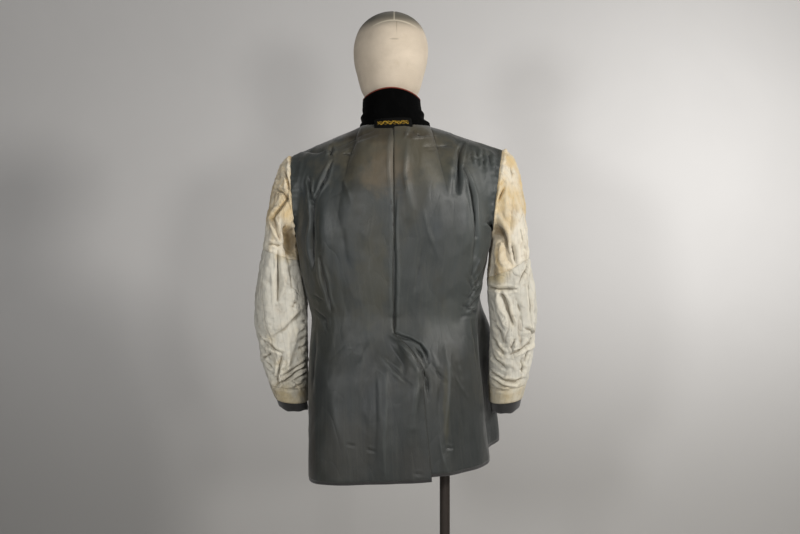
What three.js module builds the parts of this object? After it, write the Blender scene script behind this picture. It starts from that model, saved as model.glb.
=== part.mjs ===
// A military uniform jacket turned inside out and put on a limbless dress form with a plain egg-shaped head.
// The form stands on a pole and a round base. The satin lining shows outside, with the sleeves' cotton lining
// and the wool's turned edges at cuffs and hem. The velvet top collar stands up round the neck.
// Millimetres, +Z up. The jacket's back faces -Y and its front +Y. Left and right are as seen from behind,
// so -X is left. The origin is on the floor, at the centre of the base.
import * as THREE from "three";

// ---- driving sizes ----
const WALL = 2; // body and sleeve cloth, with its interlining
const SEAM_GAP = 0.3; // between two pieces that meet at a seam
const BACK_LENGTH = 731; // nape to hem at the centre back
const NAPE_Z = 1495;
const HEM_Z = NAPE_Z - BACK_LENGTH;
const ARMPIT_Z = 1258;
const COLLAR_HEIGHT = 77;
const VENT_TOP_Z = 1015;
const VENT_OVERLAP = 15;
const VENT_SLANT = 31; // height of the slanted top of the vent's overlap
const HEM_EDGE_WIDTH = 5; // how far the wool shows below the lining

// ---- the form of the jacket's body ----
// One row for each level. x is the middle, left and right are half widths, back and front are half depths.
// The section is squarer the higher its exponent, and bulge swings the right front outwards.
const BODY_SECTIONS = [
  { z: 740, x: 2, left: 193, right: 196, back: 136, front: 166, leftExp: 4.6, rightExp: 2.1, bulge: 76 },
  { z: 860, x: -6, left: 187, right: 190, back: 134, front: 160, leftExp: 4.2, rightExp: 2.1, bulge: 74 },
  { z: 960, x: -12, left: 182, right: 186, back: 128, front: 148, leftExp: 3.6, rightExp: 2.2, bulge: 78 },
  { z: 1020, x: -13, left: 180, right: 183, back: 114, front: 132, leftExp: 3, rightExp: 2.4, bulge: 80 },
  { z: 1065, x: -12, left: 177, right: 179, back: 104, front: 120, leftExp: 2.7, rightExp: 2.5, bulge: 70 },
  { z: 1100, x: -12, left: 178, right: 181, back: 101, front: 115, leftExp: 2.5, rightExp: 2.5, bulge: 50 },
  { z: 1180, x: -14, left: 195, right: 194, back: 109, front: 117, leftExp: 2.5, rightExp: 2.5, bulge: 14 },
  { z: ARMPIT_Z, x: -12, left: 210, right: 208, back: 117, front: 121, leftExp: 2.5, rightExp: 2.5, bulge: 0 },
];
const FRONT_POWER = 2.5;
const BACK_PANEL_WIDTH = 215; // about the cloth's width from centre back to side seam
const FRONT_WIDTH = 200; // about the cloth's width from front edge to side seam

// The neck seam: half widths to each side, its height at back, sides and front.
const NECK = {
  x: -13, y: -8, left: 72, right: 77, back: 68, front: 84,
  backZ: NAPE_Z, sideZ: 1500, frontZ: 1446,
};
const SHOULDER_RUN = 250; // how fast the cloth runs up to the shoulder seam
const NECK_RUN = 158; // and up to the neck seam at the back
const SHOULDER_RIDGE = 0.7; // extra gap where that seam is a ridge, at the armhole
const NECK_SHARE = 0.36; // the share of a panel's top edge that is neck seam, the rest is shoulder seam
const SHOULDER_POINTS = { left: { x: -233, y: -12, z: 1437 }, right: { x: 220, y: -12, z: 1451 } };
// How the armhole's edge leaves the armpit and reaches the shoulder point, seen from the side.
const ARMHOLE = { lowReach: 60, lowRise: 4, highReach: 73, highDrop: 47 };
// How each armhole leans in from the straight line between armpit and shoulder point, seen from behind.
const ARMHOLE_LEAN = { left: { low: 0, high: 1 }, right: { low: -4, high: -14 } };

// How far each panel's hem lies above the centre back's: at its inner edge (centre back or front), and at its
// outer edge (side seam).
const HEM_RISES = {
  back_left: { inner: 0, outer: -13 },
  back_right: { inner: 9, outer: 20 },
  front_left: { inner: 30, outer: -13 },
  front_right: { inner: 60, outer: 20 },
};
const FRONT_CORNER = 34; // radius of each front's rounded lower corner

// How the centre back line slides round the form above the vent, in degrees of turn.
const CENTRE_BACK = [
  { z: 740, turn: 12 },
  { z: 900, turn: 11.5 },
  { z: 980, turn: 11.3 },
  { z: 1015, turn: 13.4 },
  { z: 1064, turn: 0.6 },
  { z: 1082, turn: 0 },
  { z: ARMPIT_Z, turn: 0 },
];

// Half the opening between the front edges, in degrees of turn from the centre front.
const FRONT_OPENING = [
  { z: 740, turn: 17 },
  { z: 1000, turn: 13 },
  { z: 1260, turn: 9 },
];

// The largest folds of the back, as lines in the plane that faces -Y. Height is positive for a ridge.
const BACK_FOLDS = [
  { name: "left shoulder drag", x0: -135, z0: 1440, x1: -28, z1: 1480, width: 11, height: -3 },
  { name: "left blade fold", x0: -178, z0: 1345, x1: -181, z1: 1210, width: 10, height: -4.5 },
  { name: "left blade ridge", x0: -158, z0: 1340, x1: -160, z1: 1180, width: 13, height: 3 },
  { name: "right shoulder pleat", x0: 124, z0: 1450, x1: 118, z1: 1352, width: 9, height: -4 },
  { name: "right shoulder ridge", x0: 104, z0: 1450, x1: 100, z1: 1345, width: 12, height: 3 },
  { name: "right blade fold", x0: 146, z0: 1372, x1: 158, z1: 1225, width: 9, height: -4 },
  { name: "spine ridge", x0: 10, z0: 1405, x1: 20, z1: 1300, width: 11, height: 2.5 },
  { name: "vent head", side: "left", x0: 6, z0: 1042, x1: 30, z1: 985, width: 11, height: 4.5 },
  { name: "vent roll", side: "left", x0: 30, z0: 980, x1: 26, z1: 880, width: 12, height: 4 },
  { name: "left skirt flute", x0: -36, z0: 1000, x1: -30, z1: 755, width: 18, height: 4 },
  { name: "left skirt trough", x0: -76, z0: 1040, x1: -72, z1: 800, width: 18, height: -4 },
  { name: "right skirt flute", x0: 96, z0: 1020, x1: 104, z1: 770, width: 15, height: 4.5 },
  { name: "right skirt trough", x0: 126, z0: 990, x1: 140, z1: 770, width: 15, height: -4 },
  { name: "right hip drag", x0: 150, z0: 1135, x1: 122, z1: 1085, width: 12, height: -3.5 },
];
// The largest folds of the fronts, as lines in the plane that faces +Y.
const FRONT_FOLDS = [
  { name: "left chest fold", x0: -150, z0: 1370, x1: -160, z1: 1180, width: 14, height: -4 },
  { name: "left front flute", x0: -120, z0: 1040, x1: -128, z1: 800, width: 18, height: 4 },
  { name: "left lapel ridge", x0: -92, z0: 1400, x1: -84, z1: 1180, width: 16, height: 3 },
  { name: "right chest fold", x0: 132, z0: 1380, x1: 150, z1: 1190, width: 14, height: -4 },
  { name: "right front flute", x0: 120, z0: 1050, x1: 150, z1: 820, width: 18, height: 4 },
  { name: "right lapel ridge", x0: 72, z0: 1400, x1: 62, z1: 1190, width: 16, height: 3 },
];
const FLAP_LIFT = WALL + 1.3; // the left skirt's lift where it overlaps the right one at the vent

// ---- sleeves ----
// One row for each level: the ring's middle, half width and depth, and how far its outer and fore sides rise.
const SLEEVES = {
  left: {
    sign: -1,
    seam: { z: 1226, rise: 13 },
    rings: [
      { z: 882, x: -234, y: 32, across: 34, deep: 49, outRise: 10, foreRise: 6 },
      { z: 905, x: -238, y: 30, across: 36, deep: 51, outRise: 8, foreRise: 6 },
      { z: 940, x: -244, y: 27, across: 42, deep: 53, outRise: 5, foreRise: 4 },
      { z: 1000, x: -251, y: 20, across: 48, deep: 55, outRise: 2, foreRise: 2 },
      { z: 1060, x: -258, y: 13, across: 54, deep: 57, outRise: 0, foreRise: 0 },
      { z: 1130, x: -261, y: 8, across: 53, deep: 58, outRise: 0, foreRise: 0 },
      { z: 1190, x: -261, y: 4, across: 44, deep: 62, outRise: 0, foreRise: 0 },
      { z: 1245, x: -260, y: 1, across: 35, deep: 67, outRise: 0, foreRise: 0 },
    ],
  },
  right: {
    sign: 1,
    seam: { z: 1199, rise: 22 },
    rings: [
      { z: 878, x: 231, y: 22, across: 32, deep: 46, outRise: 12, foreRise: 6 },
      { z: 905, x: 232, y: 21, across: 36, deep: 49, outRise: 10, foreRise: 6 },
      { z: 940, x: 235, y: 19, across: 40, deep: 52, outRise: 6, foreRise: 4 },
      { z: 1000, x: 241, y: 16, across: 45, deep: 54, outRise: 2, foreRise: 2 },
      { z: 1060, x: 246, y: 11, across: 49, deep: 56, outRise: 0, foreRise: 0 },
      { z: 1130, x: 245, y: 6, across: 51, deep: 57, outRise: 0, foreRise: 0 },
      { z: 1190, x: 241, y: 3, across: 43, deep: 61, outRise: 0, foreRise: 0 },
      { z: 1245, x: 239, y: 0, across: 35, deep: 66, outRise: 0, foreRise: 0 },
    ],
  },
};
const CUFF_BAND_TOP_Z = 936;
const CUFF_BAND_LOW_Z = 903;
const CUFF_EDGE_TOP_Z = 912;
const CUFF_EDGE_INSET = WALL + 0.8; // the wool edge comes out from inside the lining's band
const SLEEVE_DEGREE = 0.9; // about how wide one degree of turn is on the unrolled tube
const HIND_SEAM = 50; // degrees round the sleeve from its outer side towards the back
const FORE_SEAM = HIND_SEAM + 180;

// Sleeve folds: lines from one turn and height to another. Turn 0 is outside, 90 back, 180 inside, 270 front.
const SLEEVE_FOLDS = {
  left: [
    { turn0: 95, z0: 1235, turn1: 88, z1: 1100, width: 13, height: -4 },
    { turn0: 62, z0: 1210, turn1: 70, z1: 1080, width: 14, height: 3.5 },
    { turn0: 165, z0: 1105, turn1: 60, z1: 1050, width: 12, height: -4.5 },
    { turn0: 150, z0: 1075, turn1: 80, z1: 1025, width: 13, height: 3.5 },
    { turn0: 20, z0: 1050, turn1: 80, z1: 985, width: 12, height: -4 },
    { turn0: 160, z0: 985, turn1: 70, z1: 945, width: 11, height: -4 },
    { turn0: -10, z0: 1010, turn1: 60, z1: 975, width: 11, height: 3.5 },
    { turn0: 300, z0: 1150, turn1: 270, z1: 1000, width: 15, height: -3.5 },
    { turn0: 240, z0: 1040, turn1: 320, z1: 990, width: 13, height: -4 },
  ],
  right: [
    { turn0: 60, z0: 1235, turn1: 72, z1: 1110, width: 13, height: -4 },
    { turn0: 110, z0: 1165, turn1: 85, z1: 1050, width: 13, height: -4.5 },
    { turn0: 130, z0: 1160, turn1: 115, z1: 1030, width: 14, height: 3 },
    { turn0: 100, z0: 1030, turn1: 10, z1: 1060, width: 12, height: -4.5 },
    { turn0: 60, z0: 1105, turn1: 40, z1: 1040, width: 15, height: 4 },
    { turn0: 150, z0: 985, turn1: 50, z1: 955, width: 11, height: -4 },
    { turn0: -5, z0: 1035, turn1: 60, z1: 975, width: 11, height: -3.5 },
    { turn0: 290, z0: 1150, turn1: 275, z1: 1010, width: 15, height: -3.5 },
    { turn0: 230, z0: 1045, turn1: 310, z1: 1000, width: 13, height: -4 },
  ],
};

// ---- collar ----
const COLLAR = {
  x: -18, y: -9, across: 61, back: 62, front: 66, wall: 3, endTurn: 158, footGap: 1.8, endGap: 4.8,
  backZ: NAPE_Z + COLLAR_HEIGHT, sideZ: 1556, frontZ: 1545,
};
const PIPING_RADIUS = 1.3;
const LABEL = { width: 76, turn: -1.5, aboveSeam: 13, belowSeam: 12, thickness: 1, lift: 0.9 };

// ---- dress form and stand ----
// Levels of the torso from its flat underside to the neck: middle, half width, half depths to back and front.
const FORM_SECTIONS = [
  { z: 812, x: 2, across: 140, back: 84, front: 92 },
  { z: 850, x: 0, across: 148, back: 94, front: 100 },
  { z: 930, x: -6, across: 150, back: 98, front: 104 },
  { z: 1020, x: -12, across: 146, back: 84, front: 96 },
  { z: 1090, x: -12, across: 146, back: 80, front: 94 },
  { z: 1180, x: -12, across: 164, back: 90, front: 98 },
  { z: 1260, x: -12, across: 178, back: 98, front: 102 },
  { z: 1340, x: -12, across: 184, back: 98, front: 94 },
  { z: 1395, x: -11, across: 184, back: 84, front: 78 },
  { z: 1425, x: -9, across: 184, back: 70, front: 60 },
  { z: 1448, x: -8, across: 175, back: 60, front: 40 },
  { z: 1466, x: -4, across: 150, back: 53, front: 30 },
  { z: 1481, x: -7, across: 112, back: 48, front: 22 },
  { z: 1490, x: -9, across: 81.5, back: 44, front: 18 },
  { z: 1501, x: -16, across: 60, back: 44, front: 30 },
  { z: 1514, x: -20, across: 49, back: 43, front: 38 },
];
const FORM_CENTRE_Y = -4;
const FORM_POWER = 2.3;
const FORM_NECK = { y: -4, across: 46, deep: 42 };
const HEAD = { x: -20, y: 2, topZ: 1749, bottomZ: 1545, yaw: 12, chin: 6 };
const NECK_TOP_Z = HEAD.bottomZ;
// The head's egg: half width and half depth at shares of its height from crown to chin.
const HEAD_SECTIONS = [
  { share: 0, across: 0, deep: 0 },
  { share: 0.03, across: 30, deep: 36 },
  { share: 0.1, across: 54, deep: 65 },
  { share: 0.2, across: 70, deep: 84 },
  { share: 0.36, across: 79.5, deep: 96 },
  { share: 0.52, across: 78.5, deep: 94 },
  { share: 0.68, across: 71, deep: 84 },
  { share: 0.82, across: 63, deep: 69 },
  { share: 0.92, across: 52, deep: 53 },
  { share: 1, across: 40, deep: 40 },
];
const POLE = { x: 97, y: 0, radius: 11, top: 812 };
const UNDERPLATE = { thickness: 8, across: 132, deep: 74 };
const BASE = { radius: 190, thickness: 8, socketRadius: 19, socketHeight: 55 };

// ---- maths ----
const RADIANS = Math.PI / 180;
const mix = (a, b, share) => a + (b - a) * share;
const clamp01 = (value) => Math.min(1, Math.max(0, value));
const ease = (value) => {
  const t = clamp01(value);
  return t * t * (3 - 2 * t);
};

// A smooth curve through a table's column, read at a value of its key column.
function read(rows, key, column, value) {
  const last = rows.length - 1;
  const at = Math.min(Math.max(value, rows[0][key]), rows[last][key]);
  let i = 0;
  while (i < last - 1 && at > rows[i + 1][key]) i += 1;
  const slope = (k) => {
    const a = rows[Math.max(k - 1, 0)];
    const b = rows[Math.min(k + 1, last)];
    return (b[column] - a[column]) / (b[key] - a[key]);
  };
  const span = rows[i + 1][key] - rows[i][key];
  const t = (at - rows[i][key]) / span;
  const bend = t * t * (3 - 2 * t);
  return mix(rows[i][column], rows[i + 1][column], bend)
    + span * (t * (1 - t) * (1 - t) * slope(i) - t * t * (1 - t) * slope(i + 1));
}

function bezier(p0, p1, p2, p3, t) {
  const s = 1 - t;
  return new THREE.Vector3()
    .addScaledVector(p0, s * s * s)
    .addScaledVector(p1, 3 * s * s * t)
    .addScaledVector(p2, 3 * s * t * t)
    .addScaledVector(p3, t * t * t);
}

// The normal of point(u, v) by small steps.
function normalOf(point, u, v) {
  const step = 1e-3;
  const du = point(u + step, v).sub(point(u - step, v));
  const dv = point(u, v + step).sub(point(u, v - step));
  return du.cross(dv).normalize();
}

// How far a table's folds lift the cloth at one place of a flat map.
function foldHeight(folds, across, up) {
  let height = 0;
  for (const fold of folds) {
    const dx = fold.x1 - fold.x0;
    const dz = fold.z1 - fold.z0;
    const along = clamp01(((across - fold.x0) * dx + (up - fold.z0) * dz) / (dx * dx + dz * dz));
    const away = Math.hypot(across - fold.x0 - along * dx, up - fold.z0 - along * dz);
    const taper = 0.35 + 0.65 * Math.sin(Math.PI * clamp01(0.08 + 0.84 * along));
    height += fold.height * taper * Math.exp(-((away / fold.width) ** 2));
  }
  return height;
}

// ---- solids ----
function solid(points, triangles) {
  const positions = new Float32Array(points.length * 3);
  points.forEach((p, i) => p.toArray(positions, 3 * i));
  let volume = 0;
  for (const [a, b, c] of triangles) volume += points[a].dot(points[b].clone().cross(points[c]));
  const faces = volume < 0 ? triangles.map(([a, b, c]) => [a, c, b]) : triangles;
  return new THREE.BufferGeometry()
    .setAttribute("position", new THREE.BufferAttribute(positions, 3))
    .setIndex(faces.flat());
}

// A wall of cloth: its middle surface is point(u, v) for u and v from 0 to 1, and ring closes it round u.
function cloth(point, { columns, rows, wall = WALL, ring = false }) {
  const across = ring ? columns : columns + 1;
  const points = [];
  for (const side of [wall / 2, -wall / 2])
    for (let j = 0; j <= rows; j += 1)
      for (let i = 0; i < across; i += 1) {
        const u = i / columns;
        const v = j / rows;
        points.push(point(u, v).addScaledVector(normalOf(point, u, v), side));
      }
  const layer = across * (rows + 1);
  const at = (i, j, k) => (ring ? i % across : i) + j * across + k * layer;
  const triangles = [];
  const quad = (a, b, c, d) => triangles.push([a, b, c], [a, c, d]);
  for (let i = 0; i < columns; i += 1) {
    for (let j = 0; j < rows; j += 1) {
      quad(at(i, j, 0), at(i + 1, j, 0), at(i + 1, j + 1, 0), at(i, j + 1, 0));
      quad(at(i, j, 1), at(i, j + 1, 1), at(i + 1, j + 1, 1), at(i + 1, j, 1));
    }
    quad(at(i, 0, 0), at(i, 0, 1), at(i + 1, 0, 1), at(i + 1, 0, 0));
    quad(at(i, rows, 0), at(i + 1, rows, 0), at(i + 1, rows, 1), at(i, rows, 1));
  }
  if (!ring)
    for (let j = 0; j < rows; j += 1) {
      quad(at(0, j, 0), at(0, j + 1, 0), at(0, j + 1, 1), at(0, j, 1));
      quad(at(columns, j, 0), at(columns, j, 1), at(columns, j + 1, 1), at(columns, j + 1, 0));
    }
  return solid(points, triangles);
}

// A closed body of stacked rings, with a middle point at each end.
function stack(rings, point, segments) {
  const turns = Array.from({ length: segments }, (_, i) => (360 * i) / segments);
  const points = rings.flatMap((ring) => turns.map((turn) => point(ring, turn)));
  const middle = (first) => {
    const sum = new THREE.Vector3();
    for (let i = 0; i < segments; i += 1) sum.add(points[first + i]);
    return sum.divideScalar(segments);
  };
  const top = (rings.length - 1) * segments;
  points.push(middle(0), middle(top));
  const triangles = [];
  for (let i = 0; i < segments; i += 1) {
    const next = (i + 1) % segments;
    for (let j = 0; j < top; j += segments)
      triangles.push([j + i, j + next, j + segments + next], [j + i, j + segments + next, j + segments + i]);
    triangles.push([points.length - 2, next, i], [points.length - 1, top + i, top + next]);
  }
  return solid(points, triangles);
}

// ---- body ----
// A place on the section at height z. Turn is in degrees from the centre back: 90 right seam, -90 left seam.
function section(z, turn) {
  const row = (column) => read(BODY_SECTIONS, "z", column, z);
  const s = Math.sin(turn * RADIANS);
  const c = Math.cos(turn * RADIANS);
  const backPower = s < 0 ? row("leftExp") : row("rightExp");
  const power = c < 0 ? FRONT_POWER : backPower;
  const round = (Math.abs(s) ** power + Math.abs(c) ** power) ** (-1 / power);
  const swing = s > 0 && c < 0 ? row("bulge") * (1 - (2 * s * s - 1) ** 2) ** 2 : 0;
  return new THREE.Vector3(
    row("x") + (s < 0 ? row("left") : row("right")) * round * s + swing,
    -(c > 0 ? row("back") : row("front")) * round * c,
    z,
  );
}

// A place on the neck seam. Turn as in section.
function neck(turn) {
  const s = Math.sin(turn * RADIANS);
  const c = Math.cos(turn * RADIANS);
  return new THREE.Vector3(
    NECK.x + (s < 0 ? NECK.left : NECK.right) * s,
    NECK.y - (c > 0 ? NECK.back : NECK.front) * c,
    c > 0 ? mix(NECK.sideZ, NECK.backZ, c * c) : mix(NECK.sideZ, NECK.frontZ, ease(-c)),
  );
}

// How far a panel's hem lies above the hem at the centre back.
function hemRise(side, part, s) {
  const { inner, outer } = HEM_RISES[`${part}_${side}`];
  const fromEdge = part === "back" ? 1 : Math.min(1, (Math.max(s, 0) * FRONT_WIDTH) / FRONT_CORNER);
  return mix(inner, outer, s) + FRONT_CORNER * (1 - Math.sqrt(1 - (1 - fromEdge) ** 2));
}

// The body cloth's height in bodyForm's v at which the lining ends and the wool's turned edge shows.
const liningFoot = (side, part, s) => HEM_EDGE_WIDTH / (ARMPIT_Z - HEM_Z - 3 * hemRise(side, part, s));

// A place on the body cloth without its folds. Side is "left" or "right", part "back" or "front".
// s runs from the centre (0) to the side seam and armhole (1).
// v runs from the hem (0) past the armpit (1) to the shoulder and neck seams (2).
function bodyForm(side, part, s, v) {
  const sign = side === "left" ? -1 : 1;
  const back = part === "back";
  const turnAt = (z) => {
    if (back) return mix(read(CENTRE_BACK, "z", "turn", z), sign * 90, s);
    return sign * mix(180 - read(FRONT_OPENING, "z", "turn", z), 90, s);
  };
  if (v <= 1) {
    const z = mix(HEM_Z, ARMPIT_Z, v) + hemRise(side, part, s) * (1 - v) ** 3;
    return section(z, turnAt(z));
  }
  const share = s / NECK_SHARE;
  const point = SHOULDER_POINTS[side];
  const p0 = section(ARMPIT_Z, turnAt(ARMPIT_Z));
  const p3 = share < 1
    ? neck(sign * mix(back ? 0 : COLLAR.endTurn, 90, share))
    : neck(sign * 90).lerp(new THREE.Vector3(point.x, point.y, point.z), (s - NECK_SHARE) / (1 - NECK_SHARE));
  const lean = ARMHOLE_LEAN[side];
  const out = back ? -1 : 1;
  const nearNeck = 1 - ease(share);
  const nearArm = s ** 4;
  const p1 = p0.clone().add(new THREE.Vector3(
    lean.low * s * s,
    out * mix(9, ARMHOLE.lowReach, nearArm),
    mix(back ? 80 : 62, ARMHOLE.lowRise, nearArm),
  ));
  const p2 = p3.clone().add(new THREE.Vector3(
    lean.high * s * s,
    out * mix(mix(80, back ? 42 : 34, nearNeck), ARMHOLE.highReach, nearArm),
    mix(mix(-6, -32, nearNeck), -ARMHOLE.highDrop, nearArm),
  ));
  return bezier(p0, p1, p2, p3, v - 1);
}

// How far the left skirt passes the centre back line at height z, as a share of the panel.
const ventReach = (z) => (VENT_OVERLAP / BACK_PANEL_WIDTH) * ease((VENT_TOP_Z - z) / VENT_SLANT);

// The left skirt is lifted where it lies over the right one.
const ventLift = (s, z) => FLAP_LIFT * ease((VENT_TOP_Z + 46 - z) / 26) * (1 - ease((s - 0.03) / 0.1));

// The body cloth with its folds, which fade out at the side, shoulder and armhole seams.
function bodyPoint(side, part, s, v) {
  const back = part === "back";
  const form = bodyForm(side, part, s, v);
  const fade = ease((1 - s) / 0.12) * ease((2 - v) / 0.12);
  const folds = (back ? BACK_FOLDS : FRONT_FOLDS).filter((fold) => !fold.side || fold.side === side);
  let lift = foldHeight(folds, form.x, form.z) * fade;
  if (back && side === "left") lift += ventLift(s, form.z);
  const outward = (side === "right") === back ? 1 : -1;
  const normal = normalOf((a, b) => bodyForm(side, part, a, b), s, v);
  return form.addScaledVector(normal, outward * lift);
}

// One body panel between two levels, which are given as bodyForm's v for each s.
function panel(side, part, { low, high, columns, rows }) {
  const edge = SEAM_GAP / 2 / (part === "back" ? BACK_PANEL_WIDTH : FRONT_WIDTH);
  const overlaps = side === "left" && part === "back";
  return cloth((u, v) => {
    const level = mix(low(0.5), high(0.5), v);
    const reach = overlaps ? ventReach(mix(HEM_Z, ARMPIT_Z, level)) : 0;
    const s = mix(edge - reach, 1 - edge, u);
    return bodyPoint(side, part, s, mix(low(s), high(s), v));
  }, { columns, rows });
}

// ---- sleeves ----
// A place on the armhole's edge, how far up it is, and the way the body cloth runs off it there.
function armhole(side, turn) {
  const rise = (1 + Math.cos(turn * RADIANS)) / 2;
  const part = Math.sin(turn * RADIANS) >= 0 ? "back" : "front";
  const edge = bodyForm(side, part, 1, 1 + rise);
  const way = edge.clone().sub(bodyForm(side, part, 1 - 1e-3, 1 + rise)).normalize();
  return { edge, rise, way };
}

// A place on the sleeve's tube below its head.
function tube(side, turn, level) {
  const row = (column) => read(SLEEVES[side].rings, "z", column, level);
  const c = Math.cos(turn * RADIANS);
  const s = Math.sin(turn * RADIANS);
  return new THREE.Vector3(
    row("x") + SLEEVES[side].sign * row("across") * c,
    row("y") - row("deep") * s,
    level + (row("outRise") * (1 + c)) / 2 + (row("foreRise") * (1 - s)) / 2,
  );
}

const headSeam = (side, turn) => SLEEVES[side].seam.z + SLEEVES[side].seam.rise * Math.cos(turn * RADIANS);

// A place on the sleeve without its folds. Along runs from the cuff (0) to the head's seam (1), then on up
// to the armhole (2).
function sleeveForm(side, turn, along) {
  const seam = headSeam(side, turn);
  if (along <= 1) return tube(side, turn, mix(SLEEVES[side].rings[0].z, seam, along));
  const low = tube(side, turn, seam);
  const up = low.clone().sub(tube(side, turn, seam - 1));
  const { edge, rise, way } = armhole(side, turn);
  const outward = new THREE.Vector3(SLEEVES[side].sign, 0, 0).lerp(way, ease(rise / 0.5)).normalize();
  const bend = new THREE.Vector3(0, 0, -1).lerp(way, ease(rise / 0.9)).normalize();
  const top = edge.addScaledVector(outward, mix(WALL + SEAM_GAP, SEAM_GAP, ease((rise - 0.1) / 0.7)));
  const height = top.distanceTo(low);
  const p1 = low.clone().addScaledVector(up, height * 0.4);
  const p2 = top.clone().addScaledVector(bend, height * mix(0.3, 0.24, rise));
  return bezier(low, p1, p2, top, along - 1);
}

// How far the sleeve's folds lift the cloth. They are laid out on the unrolled tube.
function sleeveFold(side, turn, z) {
  const unrolled = SLEEVE_FOLDS[side].map((fold) => ({
    ...fold,
    x0: fold.turn0 * SLEEVE_DEGREE,
    x1: fold.turn1 * SLEEVE_DEGREE,
  }));
  const height = (at) => foldHeight(unrolled, at * SLEEVE_DEGREE, z);
  return height(turn - 360) + height(turn) + height(turn + 360);
}

// The sleeve cloth with its folds, which fade out at cuff and armhole, moved in by inset.
function sleevePoint(side, turn, along, inset) {
  const form = sleeveForm(side, turn, along);
  const fade = ease((form.z - CUFF_EDGE_TOP_Z) / 40) * ease((2 - along) / 0.3);
  const lift = sleeveFold(side, turn, form.z) * fade - inset;
  const normal = normalOf((a, b) => sleeveForm(side, a, b), turn, along);
  return form.addScaledVector(normal, -SLEEVES[side].sign * lift);
}

// A piece of sleeve between two turns and two levels. Low and high give its ends along the sleeve at a turn.
function sleevePiece(side, { from, to, low, high, columns, rows, inset = 0 }) {
  const ring = to - from === 360;
  const edge = ring ? 0 : SEAM_GAP / 2 / SLEEVE_DEGREE;
  return cloth((u, v) => {
    const turn = mix(from + edge, to - edge, u);
    return sleevePoint(side, turn, mix(low(turn), high(turn), v), inset);
  }, { columns, rows, ring });
}

function sleeve(side) {
  const cuff = SLEEVES[side].rings[0].z;
  const alongAt = (z) => (turn) => (z - cuff) / (headSeam(side, turn) - cuff);
  const headHeight = (turn) => sleeveForm(side, turn, 2).distanceTo(sleeveForm(side, turn, 1));
  const seamAbove = (turn) => 1 + SEAM_GAP / headHeight(turn);
  const half = { low: alongAt(CUFF_BAND_TOP_Z + 2 * SEAM_GAP), high: () => 1, columns: 10, rows: 9 };
  const whole = { from: 0, to: 360, columns: 20 };
  add(`sleeve_${side}_edge`, WOOL, sleevePiece(side, {
    ...whole, low: alongAt(cuff), high: alongAt(CUFF_EDGE_TOP_Z), rows: 1, inset: CUFF_EDGE_INSET,
  }));
  add(`sleeve_${side}_cuff`, STAINED_COTTON, sleevePiece(side, {
    ...whole, low: alongAt(CUFF_BAND_LOW_Z), high: alongAt(CUFF_BAND_TOP_Z), rows: 2,
  }));
  add(`sleeve_${side}_under`, COTTON, sleevePiece(side, { ...half, from: HIND_SEAM, to: FORE_SEAM }));
  add(`sleeve_${side}_upper`, COTTON, sleevePiece(side, { ...half, from: FORE_SEAM, to: HIND_SEAM + 360 }));
  add(`sleeve_${side}_head`, STAINED_COTTON, sleevePiece(side, {
    ...whole, low: seamAbove, high: () => 2, rows: 6,
  }));
}

// ---- collar ----
// A place on the collar's middle surface. Turn is 0 at the centre back, and v runs from the seam (0) to the
// top edge (1).
function collarPoint(turn, v) {
  const s = Math.sin(turn * RADIANS);
  const c = Math.cos(turn * RADIANS);
  const base = neck(turn);
  base.z += mix(COLLAR.footGap, COLLAR.endGap, ease(-c));
  const top = new THREE.Vector3(
    COLLAR.x + COLLAR.across * s,
    COLLAR.y - (c > 0 ? COLLAR.back : COLLAR.front) * c,
    mix(COLLAR.sideZ, c > 0 ? COLLAR.backZ : COLLAR.frontZ, c * c),
  );
  const narrowing = 1 - Math.max(0, 1 - v) ** 2.2;
  return new THREE.Vector3(
    mix(base.x, top.x, narrowing),
    mix(base.y, top.y, narrowing),
    mix(base.z, top.z, v),
  );
}

function collar() {
  const turnAt = (u) => mix(-COLLAR.endTurn, COLLAR.endTurn, u);
  const band = { columns: 22, rows: 4, wall: COLLAR.wall };
  add("collar", VELVET, cloth((u, v) => collarPoint(turnAt(u), v), band));
  const edge = Array.from({ length: 25 }, (_, i) => {
    const place = collarPoint(turnAt(i / 24), 1);
    place.z += PIPING_RADIUS + SEAM_GAP;
    return place;
  });
  const corners = Array.from({ length: 6 }, (_, i) => new THREE.Vector2(PIPING_RADIUS, 0)
    .rotateAround(new THREE.Vector2(), (i * Math.PI) / 3));
  const round = new THREE.Shape(corners);
  add("collar_piping", PIPING, new THREE.ExtrudeGeometry(round, {
    extrudePath: new THREE.CatmullRomCurve3(edge),
    steps: 30,
    bevelEnabled: false,
  }));
}

// The label is stitched to the collar along its top edge. Its foot hangs over the neck seam onto the back.
function label() {
  const spread = (LABEL.width / 2 / NECK.back) * (1 / RADIANS);
  const surface = (u, v) => {
    const turn = LABEL.turn + mix(-spread, spread, u);
    const top = collarPoint(turn, LABEL.aboveSeam / COLLAR_HEIGHT);
    const outTop = normalOf(collarPoint, turn, 0.1).multiplyScalar(COLLAR.wall / 2 + LABEL.lift);
    const side = turn < 0 ? "left" : "right";
    const place = (a, b) => bodyForm(side, "back", a, b);
    const share = (Math.abs(turn) / 90) * NECK_SHARE;
    const foot = place(share, 2 - LABEL.belowSeam / NECK_RUN);
    const outward = side === "right" ? 1 : -1;
    const outFoot = normalOf(place, share, 2).multiplyScalar(outward * (WALL / 2 + LABEL.lift));
    return foot.add(outFoot).lerp(top.add(outTop), v);
  };
  add("label", LABEL_CLOTH, cloth(surface, { columns: 10, rows: 2, wall: LABEL.thickness }));
}

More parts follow.
